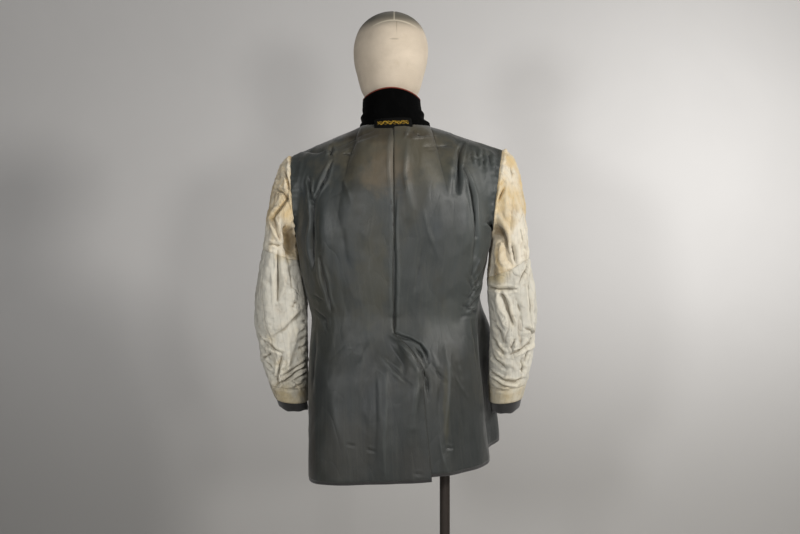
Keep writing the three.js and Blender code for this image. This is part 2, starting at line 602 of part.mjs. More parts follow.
// ---- dress form and stand ----
function dressForm() {
  const torso = stack(FORM_SECTIONS, (row, turn) => {
    const s = Math.sin(turn * RADIANS);
    const c = Math.cos(turn * RADIANS);
    const round = (Math.abs(s) ** FORM_POWER + Math.abs(c) ** FORM_POWER) ** (-1 / FORM_POWER);
    return new THREE.Vector3(
      row.x + row.across * round * s,
      FORM_CENTRE_Y - (c > 0 ? row.back : row.front) * round * c,
      row.z,
    );
  }, 36);
  add("form_torso", LINEN, torso);
  const neckTop = FORM_SECTIONS[FORM_SECTIONS.length - 1].z;
  const neckLevels = [neckTop, (neckTop + NECK_TOP_Z) / 2, NECK_TOP_Z];
  add("form_neck", LINEN, stack(neckLevels, (z, turn) => new THREE.Vector3(
    HEAD.x + FORM_NECK.across * Math.sin(turn * RADIANS),
    FORM_NECK.y - FORM_NECK.deep * Math.cos(turn * RADIANS),
    z,
  ), 28));
  add("form_head", LINEN, stack(HEAD_SECTIONS, (row, turn) => {
    const yaw = HEAD.yaw * RADIANS;
    const x = row.across * Math.sin(turn * RADIANS);
    const y = -row.deep * Math.cos(turn * RADIANS) + HEAD.chin * row.share ** 2;
    return new THREE.Vector3(
      HEAD.x + x * Math.cos(yaw) - y * Math.sin(yaw),
      HEAD.y + x * Math.sin(yaw) + y * Math.cos(yaw),
      mix(HEAD.topZ, HEAD.bottomZ, row.share),
    );
  }, 28));
}

function stand() {
  const plateBottom = POLE.top - UNDERPLATE.thickness;
  const disc = new THREE.CylinderGeometry(1, 1, UNDERPLATE.thickness, 32).rotateX(Math.PI / 2);
  disc.scale(UNDERPLATE.across, UNDERPLATE.deep, 1);
  add("form_underplate", WOOD, disc.translate(0, FORM_CENTRE_Y, POLE.top - UNDERPLATE.thickness / 2));
  const length = plateBottom - BASE.thickness;
  const pole = new THREE.CylinderGeometry(POLE.radius, POLE.radius, length, 20).rotateX(Math.PI / 2);
  add("pole", STEEL, pole.translate(POLE.x, POLE.y, BASE.thickness + length / 2));
  const inner = POLE.radius + SEAM_GAP;
  const profile = [
    [inner, 0], [BASE.socketRadius + 6, 0], [BASE.socketRadius + 6, 5], [BASE.socketRadius, 8],
    [BASE.socketRadius, BASE.socketHeight - 2], [BASE.socketRadius - 2, BASE.socketHeight],
    [inner, BASE.socketHeight], [inner, 0],
  ].map(([r, z]) => new THREE.Vector2(r, z));
  const socket = new THREE.LatheGeometry(profile, 24).rotateX(Math.PI / 2);
  add("socket", STEEL, socket.translate(POLE.x, POLE.y, BASE.thickness));
  const rim = [
    [0, 0], [BASE.radius, 0], [BASE.radius, BASE.thickness - 3],
    [BASE.radius - 3, BASE.thickness], [0, BASE.thickness],
  ].map(([r, z]) => new THREE.Vector2(r, z));
  add("base", STEEL, new THREE.LatheGeometry(rim, 48).rotateX(Math.PI / 2));
}

// ---- the object ----
function material(color, roughness, metalness = 0) {
  return new THREE.MeshStandardMaterial({ color, roughness, metalness });
}
const SATIN = material(0x4a4f4b, 0.4);
const WOOL = material(0x2b2a29, 0.95);
const COTTON = material(0xcfcbbf, 0.75);
const STAINED_COTTON = material(0xd8c8a2, 0.78);
const VELVET = material(0x060706, 0.98);
const PIPING = material(0x9a1c1c, 0.85);
const LABEL_CLOTH = material(0x14120d, 0.6);
const LINEN = material(0xd8cbb5, 0.85);
const WOOD = material(0x6e5439, 0.6);
const STEEL = material(0x35302c, 0.45, 0.7);

const jacket = new THREE.Group();
function add(name, surface, geometry) {
  geometry.computeVertexNormals();
  const mesh = new THREE.Mesh(geometry, surface);
  mesh.name = name;
  jacket.add(mesh);
}

for (const name of Object.keys(HEM_RISES)) {
  const [part, side] = name.split("_");
  const foot = (s) => liningFoot(side, part, s);
  const gap = SEAM_GAP / (ARMPIT_Z - HEM_Z);
  const shoulder = (s) => 2 - (SEAM_GAP / 2 + SHOULDER_RIDGE * s ** 4) / SHOULDER_RUN;
  const [columns, rows] = part === "back" ? [14, 25] : [8, 18];
  add(name, SATIN, panel(side, part, { low: (s) => foot(s) + gap, high: shoulder, columns, rows }));
  add(`hem_${name}`, WOOL, panel(side, part, { low: () => 0, high: foot, columns, rows: 1 }));
}
for (const side of ["left", "right"]) sleeve(side);
collar();
label();
dressForm();
stand();

export default jacket;
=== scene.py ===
import math
from functools import partial, partialmethod

import bmesh
import bpy
import numpy as np
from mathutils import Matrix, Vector, noise


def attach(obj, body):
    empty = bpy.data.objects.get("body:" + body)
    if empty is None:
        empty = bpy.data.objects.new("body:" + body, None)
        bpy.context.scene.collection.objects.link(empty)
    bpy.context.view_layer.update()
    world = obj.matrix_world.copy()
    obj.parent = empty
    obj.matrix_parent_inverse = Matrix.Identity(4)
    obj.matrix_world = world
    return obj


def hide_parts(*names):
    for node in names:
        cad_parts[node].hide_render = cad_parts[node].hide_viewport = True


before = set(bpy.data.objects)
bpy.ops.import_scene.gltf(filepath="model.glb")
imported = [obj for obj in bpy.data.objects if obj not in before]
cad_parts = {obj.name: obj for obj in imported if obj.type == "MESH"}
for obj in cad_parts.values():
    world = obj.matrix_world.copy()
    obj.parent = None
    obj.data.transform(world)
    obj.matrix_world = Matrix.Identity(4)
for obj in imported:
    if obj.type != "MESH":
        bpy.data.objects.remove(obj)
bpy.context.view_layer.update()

MM = 0.001
NOISE_SEED = 1795336115  # without one, Blender starts its vector noise from the clock
noise.seed_set(NOISE_SEED)


# ---- how the tables are written ----
def table(names, *rows):
    """The rows of a table, with the names of its columns given once."""
    return [dict(zip(names.split(), row)) for row in rows]


def fold(x0, z0, x1, z1, width, height, side=None):
    """A large soft fold along a straight line, on one side panel only where that is given."""
    return dict(x0=x0, z0=z0, x1=x1, z1=z1, width=width, height=height, side=side)


def crease(kind, width, height, *path, side=None, reach=None):
    return dict(kind=kind, width=width, height=height, path=path, side=side, reach=reach)


ridge, trough, pinch, step = (partial(crease, kind) for kind in ("ridge", "trough", "pinch", "step"))

# ---- driving sizes, the same as the solids' ----
WALL = 2.0  # body and sleeve cloth, with its interlining
SEAM_GAP = 0.3
BACK_LENGTH = 731  # nape to hem at the centre back
NAPE_Z = 1495
HEM_Z = NAPE_Z - BACK_LENGTH
ARMPIT_Z = 1258
COLLAR_HEIGHT = 77
VENT_TOP_Z = 1015
VENT_OVERLAP = 15
VENT_SLANT = 31
HEM_EDGE_WIDTH = 5
HEM_EDGE_TUCK = 7  # how far the wool edge reaches up under the lining
FORE_SEAM = 230.0  # degrees round the sleeve

# Each level of the body: its middle, half widths and half depths. The section is squarer the higher its
# exponent, and bulge swings the right front outwards.
BODY_SECTIONS = table(
    "z x left right back front left_exp right_exp bulge",
    (740, 2, 193, 196, 136, 166, 4.6, 2.1, 76),
    (860, -6, 187, 190, 134, 160, 4.2, 2.1, 74),
    (960, -12, 182, 186, 128, 148, 3.6, 2.2, 78),
    (1020, -13, 180, 183, 114, 132, 3, 2.4, 80),
    (1065, -12, 177, 179, 104, 120, 2.7, 2.5, 70),
    (1100, -12, 178, 181, 101, 115, 2.5, 2.5, 50),
    (1180, -14, 195, 194, 109, 117, 2.5, 2.5, 14),
    (ARMPIT_Z, -12, 210, 208, 117, 121, 2.5, 2.5, 0),
)
FRONT_POWER = 2.5
BACK_PANEL_WIDTH = 215
FRONT_WIDTH = 200
NECK = dict(x=-13, y=-8, left=72, right=77, back=68, front=84, back_z=NAPE_Z, side_z=1500, front_z=1446)
SHOULDER_RUN = 250  # how fast the cloth runs up to the shoulder seam
NECK_RUN = 158
NECK_SHARE = 0.36  # the share of a panel's top edge that is neck seam
SHOULDER_POINTS = dict(left=(-233, -12, 1437), right=(220, -12, 1451))
ARMHOLE = dict(low_reach=60, low_rise=4, high_reach=73, high_drop=47)
ARMHOLE_LEAN = dict(left=(0, 1), right=(-4, -14))  # low and high
HEM_RISES = {  # how far the hem lies above the centre back's, at a panel's inner edge and at its side seam
    ("back", "left"): (0, -13),
    ("back", "right"): (9, 20),
    ("front", "left"): (30, -13),
    ("front", "right"): (60, 20),
}
FRONT_CORNER = 34
CENTRE_BACK = table(  # how the centre back line slides round the form above the vent
    "z turn",
    (740, 12),
    (900, 11.5),
    (980, 11.3),
    (1015, 13.4),
    (1064, 0.6),
    (1082, 0),
    (ARMPIT_Z, 0),
)
FRONT_OPENING = table(
    "z turn",
    (740, 17),
    (1000, 13),
    (1260, 9),
)
FLAP_LIFT = WALL + 1.3
ROLL_WIDTH = 1.9  # how broadly a sewn or turned edge rolls in
TURNINGS = 1.04  # a cut piece is this much wider and longer than the cloth that shows

SLEEVES = dict(
    left=dict(sign=-1, seam_z=1226, seam_rise=13, rings=table(
        "z x y across deep out_rise fore_rise",
        (882, -234, 32, 34, 49, 10, 6),
        (905, -238, 30, 36, 51, 8, 6),
        (940, -244, 27, 42, 53, 5, 4),
        (1000, -251, 20, 48, 55, 2, 2),
        (1060, -258, 13, 54, 57, 0, 0),
        (1130, -261, 8, 53, 58, 0, 0),
        (1190, -261, 4, 44, 62, 0, 0),
        (1245, -260, 1, 35, 67, 0, 0),
    )),
    right=dict(sign=1, seam_z=1199, seam_rise=22, rings=table(
        "z x y across deep out_rise fore_rise",
        (878, 231, 22, 32, 46, 12, 6),
        (905, 232, 21, 36, 49, 10, 6),
        (940, 235, 19, 40, 52, 6, 4),
        (1000, 241, 16, 45, 54, 2, 2),
        (1060, 246, 11, 49, 56, 0, 0),
        (1130, 245, 6, 51, 57, 0, 0),
        (1190, 241, 3, 43, 61, 0, 0),
        (1245, 239, 0, 35, 66, 0, 0),
    )),
)
CUFF_BAND_TOP_Z = 936
CUFF_BAND_LOW_Z = 903
CUFF_EDGE_TOP_Z = 912
CUFF_EDGE_INSET = WALL + 0.8
SLEEVE_DEGREE = 0.9  # about how wide one degree of turn is on the unrolled sleeve
# Where the sleeve's hind seam lies: it swings to the back of the arm towards the cuff.
HIND_SEAM = table(
    "z left right",
    (936, 80, 60),
    (1017, 78, 58),
    (1075, 64, 54),
    (1171, 52, 50),
    (1226, 50, 50),
)

COLLAR = dict(x=-18, y=-9, across=61, back=62, front=66, wall=3, end_turn=158, foot_gap=1.8, end_gap=4.8,
              back_z=NAPE_Z + COLLAR_HEIGHT, side_z=1556, front_z=1545)
PIPING_RADIUS = 1.3
LABEL = dict(width=76, turn=-1.5, above_seam=13, below_seam=12, thickness=1, lift=0.9)

FORM_SECTIONS = table(
    "z x across back front",
    (812, 2, 140, 84, 92),
    (850, 0, 148, 94, 100),
    (930, -6, 150, 98, 104),
    (1020, -12, 146, 84, 96),
    (1090, -12, 146, 80, 94),
    (1180, -12, 164, 90, 98),
    (1260, -12, 178, 98, 102),
    (1340, -12, 184, 98, 94),
    (1395, -11, 184, 84, 78),
    (1425, -9, 184, 70, 60),
    (1448, -8, 175, 60, 40),
    (1466, -4, 150, 53, 30),
    (1481, -7, 112, 48, 22),
    (1490, -9, 81.5, 44, 18),
    (1501, -16, 60, 44, 30),
    (1514, -20, 49, 43, 38),
)
FORM_CENTRE_Y = -4
FORM_POWER = 2.3
HEAD = dict(x=-20, y=2, top_z=1749, bottom_z=1545, yaw=12, chin=6)
HEAD_SECTIONS = table(  # half width and half depth at shares of the head's height from crown to chin
    "share across deep",
    (0, 0, 0),
    (0.03, 30, 36),
    (0.1, 54, 65),
    (0.2, 70, 84),
    (0.36, 79.5, 96),
    (0.52, 78.5, 94),
    (0.68, 71, 84),
    (0.82, 63, 69),
    (0.92, 52, 53),
    (1, 40, 40),
)

# ---- folds and creases ----
# The large folds that the solids have too: a straight line each, in the plane that faces the viewer.
BACK_FOLDS = [
    fold(-135, 1440, -28, 1480, 11, -3),  # left shoulder drag
    fold(-178, 1345, -181, 1210, 10, -4.5),  # left blade fold
    fold(-158, 1340, -160, 1180, 13, 3),  # left blade ridge
    fold(124, 1450, 118, 1352, 9, -4),  # right shoulder pleat
    fold(104, 1450, 100, 1345, 12, 3),  # right shoulder ridge
    fold(146, 1372, 158, 1225, 9, -4),  # right blade fold
    fold(10, 1405, 20, 1300, 11, 2.5),  # spine ridge
    fold(6, 1042, 30, 985, 11, 4.5, side="left"),  # vent head
    fold(30, 980, 26, 880, 12, 4, side="left"),  # vent roll
    fold(-36, 1000, -30, 755, 18, 4),  # left skirt flute
    fold(-76, 1040, -72, 800, 18, -4),  # left skirt trough
    fold(96, 1020, 104, 770, 15, 4.5),  # right skirt flute
    fold(126, 990, 140, 770, 15, -4),  # right skirt trough
    fold(150, 1135, 122, 1085, 12, -3.5),  # right hip drag
]
FRONT_FOLDS = [
    fold(-150, 1370, -160, 1180, 14, -4),  # left chest fold
    fold(-120, 1040, -128, 800, 18, 4),  # left front flute
    fold(-92, 1400, -84, 1180, 16, 3),  # left lapel ridge
    fold(132, 1380, 150, 1190, 14, -4),  # right chest fold
    fold(120, 1050, 150, 820, 18, 4),  # right front flute
    fold(72, 1400, 62, 1190, 16, 3),  # right lapel ridge
]
SLEEVE_FOLDS = dict(  # on the unrolled sleeve: turn 0 is outside, 90 back, 180 inside and 270 front
    left=[
        fold(95, 1235, 88, 1100, 13, -4),
        fold(62, 1210, 70, 1080, 14, 3.5),
        fold(165, 1105, 60, 1050, 12, -4.5),
        fold(150, 1075, 80, 1025, 13, 3.5),
        fold(20, 1050, 80, 985, 12, -4),
        fold(160, 985, 70, 945, 11, -4),
        fold(-10, 1010, 60, 975, 11, 3.5),
        fold(300, 1150, 270, 1000, 15, -3.5),
        fold(240, 1040, 320, 990, 13, -4),
    ],
    right=[
        fold(60, 1235, 72, 1110, 13, -4),
        fold(110, 1165, 85, 1050, 13, -4.5),
        fold(130, 1160, 115, 1030, 14, 3),
        fold(100, 1030, 10, 1060, 12, -4.5),
        fold(60, 1105, 40, 1040, 15, 4),
        fold(150, 985, 50, 955, 11, -4),
        fold(-5, 1035, 60, 975, 11, -3.5),
        fold(290, 1150, 275, 1010, 15, -3.5),
        fold(230, 1045, 310, 1000, 13, -4),
    ],
)
SLEEVE_HOLLOWS = dict(  # deep shadowed hollows at the armpits, as seen from behind
    left=[
        fold(-240, 1280, -229, 1234, 9, -24),
        fold(-262, 1246, -250, 1246, 4, -5),
    ],
    right=[
        fold(202, 1286, 222, 1254, 8, -20),
        fold(236, 1240, 244, 1204, 6, -9),
        fold(200, 1246, 202, 1180, 8, -10),
    ],
)
BODY_CREASE_LIFT = 1.9
TUCK_HEIGHT = 2.8  # the small tucks of a sleeve along its armhole
GATHERS = dict(height=2.2, spacing=8.5, reach=20)  # and of the lining on the other side of that seam
SLUMP = dict(left=dict(depth=5.5, z=1150), right=dict(depth=8.0, z=1195))  # a sleeve's sag towards the body
# How finely each sleeve is laid out for its settling, and how much of what it moved is used.
SETTLE = dict(columns=116, low_rows=86, high_rows=46, frames=22, share=0.5, most=7.5)
SLACK_CLOTH = dict(quality=5, mass=0.12, tension_stiffness=12, compression_stiffness=12, shear_stiffness=4,
                   bending_stiffness=0.12, air_damping=2, shrink_min=-0.07, vertex_group_mass="held",
                   pin_stiffness=1.0)

# Creases have a width, a height and a line of (x, z) places as seen from behind. A ridge or trough is soft, a
# pinch is a narrow trough between two small ridges, and a step is a laid fold: high on the left of its line as it
# is drawn.
BACK_CREASES = [
    ridge(6.5, 2.4, (-18, 1482), (-24, 1440), (-24, 1400), (-20, 1350), (-17, 1316)),
    pinch(3, -2.6, (-10, 1350), (-11, 1275), (-11, 1180), (-12, 1066)),
    trough(5.5, -3.5, (-12, 1112), (-12, 1066)),
    ridge(6, 2.2, (16, 1462), (12, 1425), (9, 1390), (17, 1350), (27, 1316)),
    ridge(4, 1.3, (45, 1325), (58, 1270), (78, 1222)),
    trough(4.5, -1.4, (45, 1240), (38, 1190), (30, 1150)),
    pinch(3.4, -4.2, (134, 1460), (126, 1442), (123, 1410), (121, 1354)),
    ridge(9, 2, (112, 1440), (108, 1400), (104, 1360)),
    pinch(3.2, -3.8, (132, 1408), (143, 1381), (151, 1345), (156, 1312), (159, 1262)),
    ridge(4.5, 2, (134, 1388), (144, 1350), (149, 1300), (150, 1240)),
    trough(6, -1.8, (158, 1262), (152, 1200), (143, 1132)),
    pinch(3.2, -3, (-141, 1420), (-155, 1383), (-167, 1358), (-180, 1333)),
    pinch(3, -2.8, (-190, 1386), (-187, 1355), (-183, 1333)),
    pinch(3.8, -4, (-181, 1333), (-182, 1290), (-183, 1238), (-180, 1195)),
    pinch(3.4, -2.6, (-164, 1220), (-159, 1183), (-150, 1145), (-142, 1108)),
    ridge(6, 1.6, (-170, 1260), (-168, 1210), (-160, 1160)),
    ridge(10, 1.8, (-120, 1388), (-104, 1355), (-97, 1325)),
    trough(13, -1.8, (-135, 1330), (-118, 1270), (-108, 1200)),
    trough(6, -2.6, (-50, 1486), (-95, 1470), (-140, 1449)),
    ridge(6.5, 2, (-36, 1472), (-85, 1456), (-128, 1434)),
    pinch(4, -3, (-143, 1452), (-146, 1430)),
    trough(4.5, -2.2, (-126, 1436), (-94, 1433)),
    trough(5, -2, (-205, 1446), (-175, 1440), (-150, 1446)),
    ridge(3.5, 2, (18, 1488), (14, 1474), (9, 1462)),
    trough(7, -2.4, (22, 1481), (38, 1473), (54, 1468)),
    ridge(4, 1.8, (20, 1463), (50, 1467), (82, 1473)),
    trough(5, -2.4, (50, 1446), (76, 1450), (106, 1454)),
    trough(3, -1.2, (58, 1440), (88, 1446)),
    pinch(4, -2, (161, 1448), (167, 1416)),
    pinch(4, -2, (175, 1444), (176, 1404)),
    pinch(4, -1.8, (187, 1440), (192, 1410)),
    pinch(3.5, -1.5, (149, 1440), (152, 1420)),
    trough(6, -1.5, (200, 1430), (205, 1390), (198, 1350)),
    pinch(2.4, -3.4, (-12, 1064), (2, 1056), (22, 1051), (41, 1041), (52, 1025), (58, 1004)),
    trough(4, -4.5, (28, 1008), (42, 991), (55, 970), (58, 930), side="right"),
    ridge(4, 2.6, (20, 1012), (36, 990), (47, 966), (50, 930), side="left"),
    ridge(3.5, 2.2, (-6, 1046), (22, 1020), (38, 1000), side="left"),
    pinch(2.4, -2, (30, 1034), (46, 1014), (52, 996)),
    pinch(2.6, -1.6, (62, 1006), (76, 984), (92, 964)),
    pinch(2.6, -1.6, (-30, 1010), (-4, 984), (24, 956)),
    ridge(6, 2.6, (2, 1040), (24, 1012), (34, 985), (36, 960), (27, 905), side="left"),
    ridge(4, 1.7, (-44, 1022), (-20, 995), (6, 966), side="left"),
    trough(7, -1.6, (-20, 1040), (6, 1000), (14, 950), side="left"),
    ridge(10, 1.4, (-60, 1050), (-82, 1000), (-88, 960)),
    ridge(5, 1.3, (-30, 1008), (-26, 930), (-32, 850), (-28, 775)),
    trough(6, -1.2, (-51, 1000), (-49, 900), (-51, 800)),
    ridge(6, 2, (92, 1042), (99, 968), (93, 900), (88, 846), side="right"),
    trough(7, -1.8, (78, 1010), (82, 960), (76, 880), side="right"),
    ridge(3.6, 1.5, (112, 974), (128, 950), (144, 926), side="right"),
    ridge(4, 1.4, (104, 1020), (100, 994), (108, 968), side="right"),
    ridge(5, 1.4, (120, 1012), (128, 980), (136, 950), side="right"),
    ridge(3.6, 1.2, (62, 1030), (74, 1004), (90, 984), side="right"),
    ridge(4, 1.2, (78, 860), (84, 820), (98, 780), side="right"),
    pinch(4, -6, (186, 1298), (203, 1270)),
    pinch(2.8, -3, (190, 1214), (171, 1182), (150, 1150)),
    pinch(2.6, -2.8, (186, 1194), (163, 1160), (147, 1136)),
    pinch(2.8, -2.6, (183, 1174), (158, 1142)),
    pinch(2.8, -2.4, (180, 1150), (152, 1118), (140, 1108)),
    ridge(3, 1.6, (176, 1230), (160, 1200), (150, 1172)),
    pinch(2.8, -1, (138, 1178), (158, 1146)),
    pinch(2.8, -0.9, (150, 1186), (166, 1150)),
    pinch(2.8, -0.9, (130, 1140), (160, 1130)),
    pinch(3, -1.8, (128, 1120), (150, 1112), (166, 1100)),
    pinch(3, -1.4, (132, 1096), (152, 1100), (164, 1112)),
    pinch(3, -1.6, (150, 1090), (158, 1040), (160, 1000)),
    pinch(3, -1.2, (-182, 1140), (-160, 1128)),
    pinch(3.4, -1.6, (-180, 1110), (-156, 1090), (-150, 1066)),
    pinch(3.6, -1.8, (-176, 1060), (-180, 1000), (-182, 940)),
    pinch(2.4, -1.4, (94, 832), (106, 830)),
    pinch(2.4, -1.2, (30, 783), (45, 781)),
    pinch(2.4, -1.2, (-66, 831), (-52, 828)),
    pinch(2.4, -1, (-106, 842), (-92, 838)),
]
FRONT_CREASES = [
    pinch(3.4, -3, (-150, 1405), (-160, 1350), (-172, 1290)),
    pinch(3.4, -2.4, (-132, 1200), (-150, 1150), (-148, 1090)),
    ridge(7, 1.8, (-70, 1380), (-62, 1290), (-70, 1200)),
    trough(9, -2, (-96, 1130), (-120, 1070), (-128, 1000)),
    ridge(9, 2, (-90, 1010), (-84, 900), (-92, 810)),
    pinch(3.4, -3, (146, 1410), (152, 1350), (166, 1290)),
    pinch(3.4, -2.2, (124, 1196), (144, 1140), (140, 1094)),
    ridge(7, 1.8, (58, 1370), (48, 1290), (54, 1210)),
    trough(9, -2, (92, 1120), (110, 1060), (130, 990)),
    ridge(9, 2, (96, 1000), (112, 920), (120, 860)),
    pinch(3, -1.4, (-168, 1130), (-150, 1112)),
    pinch(3, -1.4, (152, 1126), (134, 1108)),
]
SLEEVE_CREASES = dict(
    left=[
        trough(7, -5, (-241, 1290), (-233, 1266), (-229, 1240)),
        ridge(4, 2, (-252, 1284), (-246, 1262), (-240, 1246)),
        step(5, -2.4, (-226, 960), (-214, 1040), (-222, 1130), reach=14),
        pinch(3, -3, (-248, 1408), (-238, 1385), (-234, 1360)),
        pinch(3.2, -4.6, (-264, 1366), (-246, 1355), (-236, 1343), (-248, 1328), (-263, 1313), (-268, 1303),
              (-261, 1282), (-251, 1256)),
        ridge(5, 2.4, (-256, 1340), (-250, 1350), (-262, 1350)),
        ridge(5, 2.4, (-252, 1310), (-254, 1290), (-244, 1270)),
        trough(5, -2, (-262, 1400), (-256, 1385)),
        ridge(5, 1.6, (-266, 1390), (-262, 1374)),
        pinch(2.6, -2.2, (-280, 1250), (-264, 1247), (-253, 1245)),
        pinch(3.6, -3, (-255, 1240), (-256, 1200), (-258, 1128)),
        trough(6, -4, (-238, 1236), (-233, 1200), (-230, 1150)),
        ridge(6, 2, (-245, 1220), (-243, 1180), (-248, 1130)),
        ridge(5, 1.6, (-272, 1222), (-268, 1170), (-268, 1110)),
        step(3.4, 3.4, (-276, 1056), (-240, 1082), (-214, 1112), reach=16),
        trough(6, -3, (-222, 1130), (-230, 1110)),
        pinch(3, -3, (-196, 1006), (-223, 984), (-252, 968)),
        pinch(3, -3.4, (-195, 992), (-235, 962), (-268, 944)),
        pinch(3, -2.4, (-198, 974), (-226, 955)),
        pinch(2.8, -2.6, (-302, 1054), (-290, 1040), (-278, 1028)),
        pinch(2.8, -2.6, (-290, 1046), (-270, 1030), (-250, 1020)),
        pinch(2.8, -2.6, (-296, 1003), (-284, 1012), (-274, 1018)),
        pinch(2.8, -2.2, (-288, 1000), (-270, 984)),
        pinch(2.6, -2, (-296, 1030), (-280, 1006)),
        pinch(3.2, -3, (-250, 1018), (-258, 990), (-262, 972), (-266, 944)),
        trough(5, -2.4, (-276, 975), (-262, 950)),
        ridge(7, 2.2, (-238, 1040), (-236, 1000), (-244, 985)),
        pinch(3, -2.2, (-210, 1080), (-198, 1094)),
        pinch(3, -2.2, (-212, 1060), (-199, 1076)),
        pinch(3, -2, (-212, 1042), (-199, 1056)),
        pinch(3, -2, (-214, 1024), (-200, 1036)),
        pinch(3, -1.8, (-240, 936), (-225, 940), (-208, 948)),
        pinch(3, -1.6, (-256, 930), (-240, 926)),
    ],
    right=[
        trough(6, -5, (206, 1278), (212, 1262), (220, 1252)),
        ridge(4, 2.2, (214, 1292), (226, 1276), (238, 1270)),
        pinch(2.8, -2, (237, 1412), (240, 1388)),
        pinch(2.6, -2.4, (219, 1366), (213, 1352), (207, 1340)),
        ridge(6, 1.8, (226, 1400), (222, 1360), (224, 1310)),
        trough(6, -2.2, (240, 1360), (236, 1310), (232, 1268)),
        pinch(4, -5, (213, 1284), (222, 1248), (229, 1216), (236, 1204)),
        trough(8, -4, (233, 1246), (242, 1210)),
        ridge(6, 2.4, (206, 1256), (210, 1220), (216, 1190)),
        pinch(3, -3, (256, 1280), (266, 1244), (275, 1218), (268, 1192), (257, 1174), (246, 1154)),
        pinch(3.2, -3.2, (192, 1157), (214, 1153), (246, 1153)),
        pinch(3.6, -4.6, (215, 1150), (226, 1112), (238, 1080)),
        trough(10, -3.6, (244, 1140), (254, 1110), (258, 1084)),
        ridge(7, 2.4, (205, 1140), (214, 1105), (226, 1066)),
        pinch(3, -1.6, (278, 1206), (276, 1128), (276, 1086)),
        pinch(3.4, -2.6, (191, 1128), (206, 1078), (220, 1042)),
        pinch(3.4, -2.4, (194, 1092), (212, 1064)),
        pinch(3.4, -2.6, (192, 1056), (206, 1034), (222, 1016)),
        pinch(3.4, -2.6, (191, 1022), (206, 1002), (224, 986)),
        pinch(3.4, -3.6, (192, 975), (218, 958), (246, 954), (264, 962)),
        pinch(3, -2.4, (198, 960), (216, 946), (240, 942)),
        pinch(3, -2, (200, 941), (224, 934), (244, 938)),
        pinch(3.6, -4.4, (232, 1016), (257, 1026), (276, 1038), (290, 1060)),
        ridge(5, 2.4, (240, 1032), (262, 1042), (276, 1056)),
        pinch(3, -2.2, (234, 1028), (244, 1050)),
        pinch(3, -2.4, (259, 1002), (264, 972)),
        pinch(3, -2.4, (272, 1022), (268, 996)),
        pinch(3, -2, (284, 1050), (276, 1066), (262, 1072)),
        trough(4, -2, (252, 984), (270, 980)),
    ],
)


# ---- maths, on whole arrays of places ----
def mix(a, b, share):
    return a + (b - a) * share


def ease(value):
    t = np.clip(value, 0.0, 1.0)
    return t * t * (3 - 2 * t)


def hump(away, width):
    return np.exp(-((away / width) ** 2))


def vectors(x, y, z):
    return np.stack(np.broadcast_arrays(x, y, z), axis=-1).astype(float)


def unit(v):
    return v / np.maximum(np.linalg.norm(v, axis=-1, keepdims=True), 1e-9)


def column(values):
    return np.asarray(values)[..., None]


def arrays(*values):
    return np.broadcast_arrays(*(np.asarray(value, float) for value in values))


def sine_cosine(turn):
    return np.sin(np.radians(turn)), np.cos(np.radians(turn))


def read(rows, key, name, value):
    """A smooth curve through a table's column, read at values of its key column."""
    keys = np.array([row[key] for row in rows], float)
    column_values = np.array([row[name] for row in rows], float)
    last = len(rows) - 1
    at = np.clip(value, keys[0], keys[-1])
    i = np.searchsorted(keys[1:-1], at, side="left")

    def slope(k):
        a, b = np.maximum(k - 1, 0), np.minimum(k + 1, last)
        return (column_values[b] - column_values[a]) / (keys[b] - keys[a])

    span = keys[i + 1] - keys[i]
    t = (at - keys[i]) / span
    bend = t * t * (3 - 2 * t)
    return (mix(column_values[i], column_values[i + 1], bend)
            + span * (t * (1 - t) ** 2 * slope(i) - t * t * (1 - t) * slope(i + 1)))


def bezier(p0, p1, p2, p3, t):
    t = column(t)
    s = 1 - t
    return p0 * s**3 + p1 * (3 * s * s * t) + p2 * (3 * s * t * t) + p3 * t**3


def normal_of(place, u, v):
    nudge = 1e-3
    du = place(u + nudge, v) - place(u - nudge, v)
    dv = place(u, v + nudge) - place(u, v - nudge)
    return unit(np.cross(du, dv))


def fold_lift(folds, across, up):
    """How far the large folds lift the cloth."""
    lift = np.zeros(np.shape(across))
    for row in folds:
        dx, dz = row["x1"] - row["x0"], row["z1"] - row["z0"]
        along = np.clip(((across - row["x0"]) * dx + (up - row["z0"]) * dz) / (dx * dx + dz * dz), 0, 1)
        away = np.hypot(across - row["x0"] - along * dx, up - row["z0"] - along * dz)
        taper = 0.35 + 0.65 * np.sin(np.pi * np.clip(0.08 + 0.84 * along, 0, 1))
        lift += row["height"] * taper * hump(away, row["width"])
    return lift


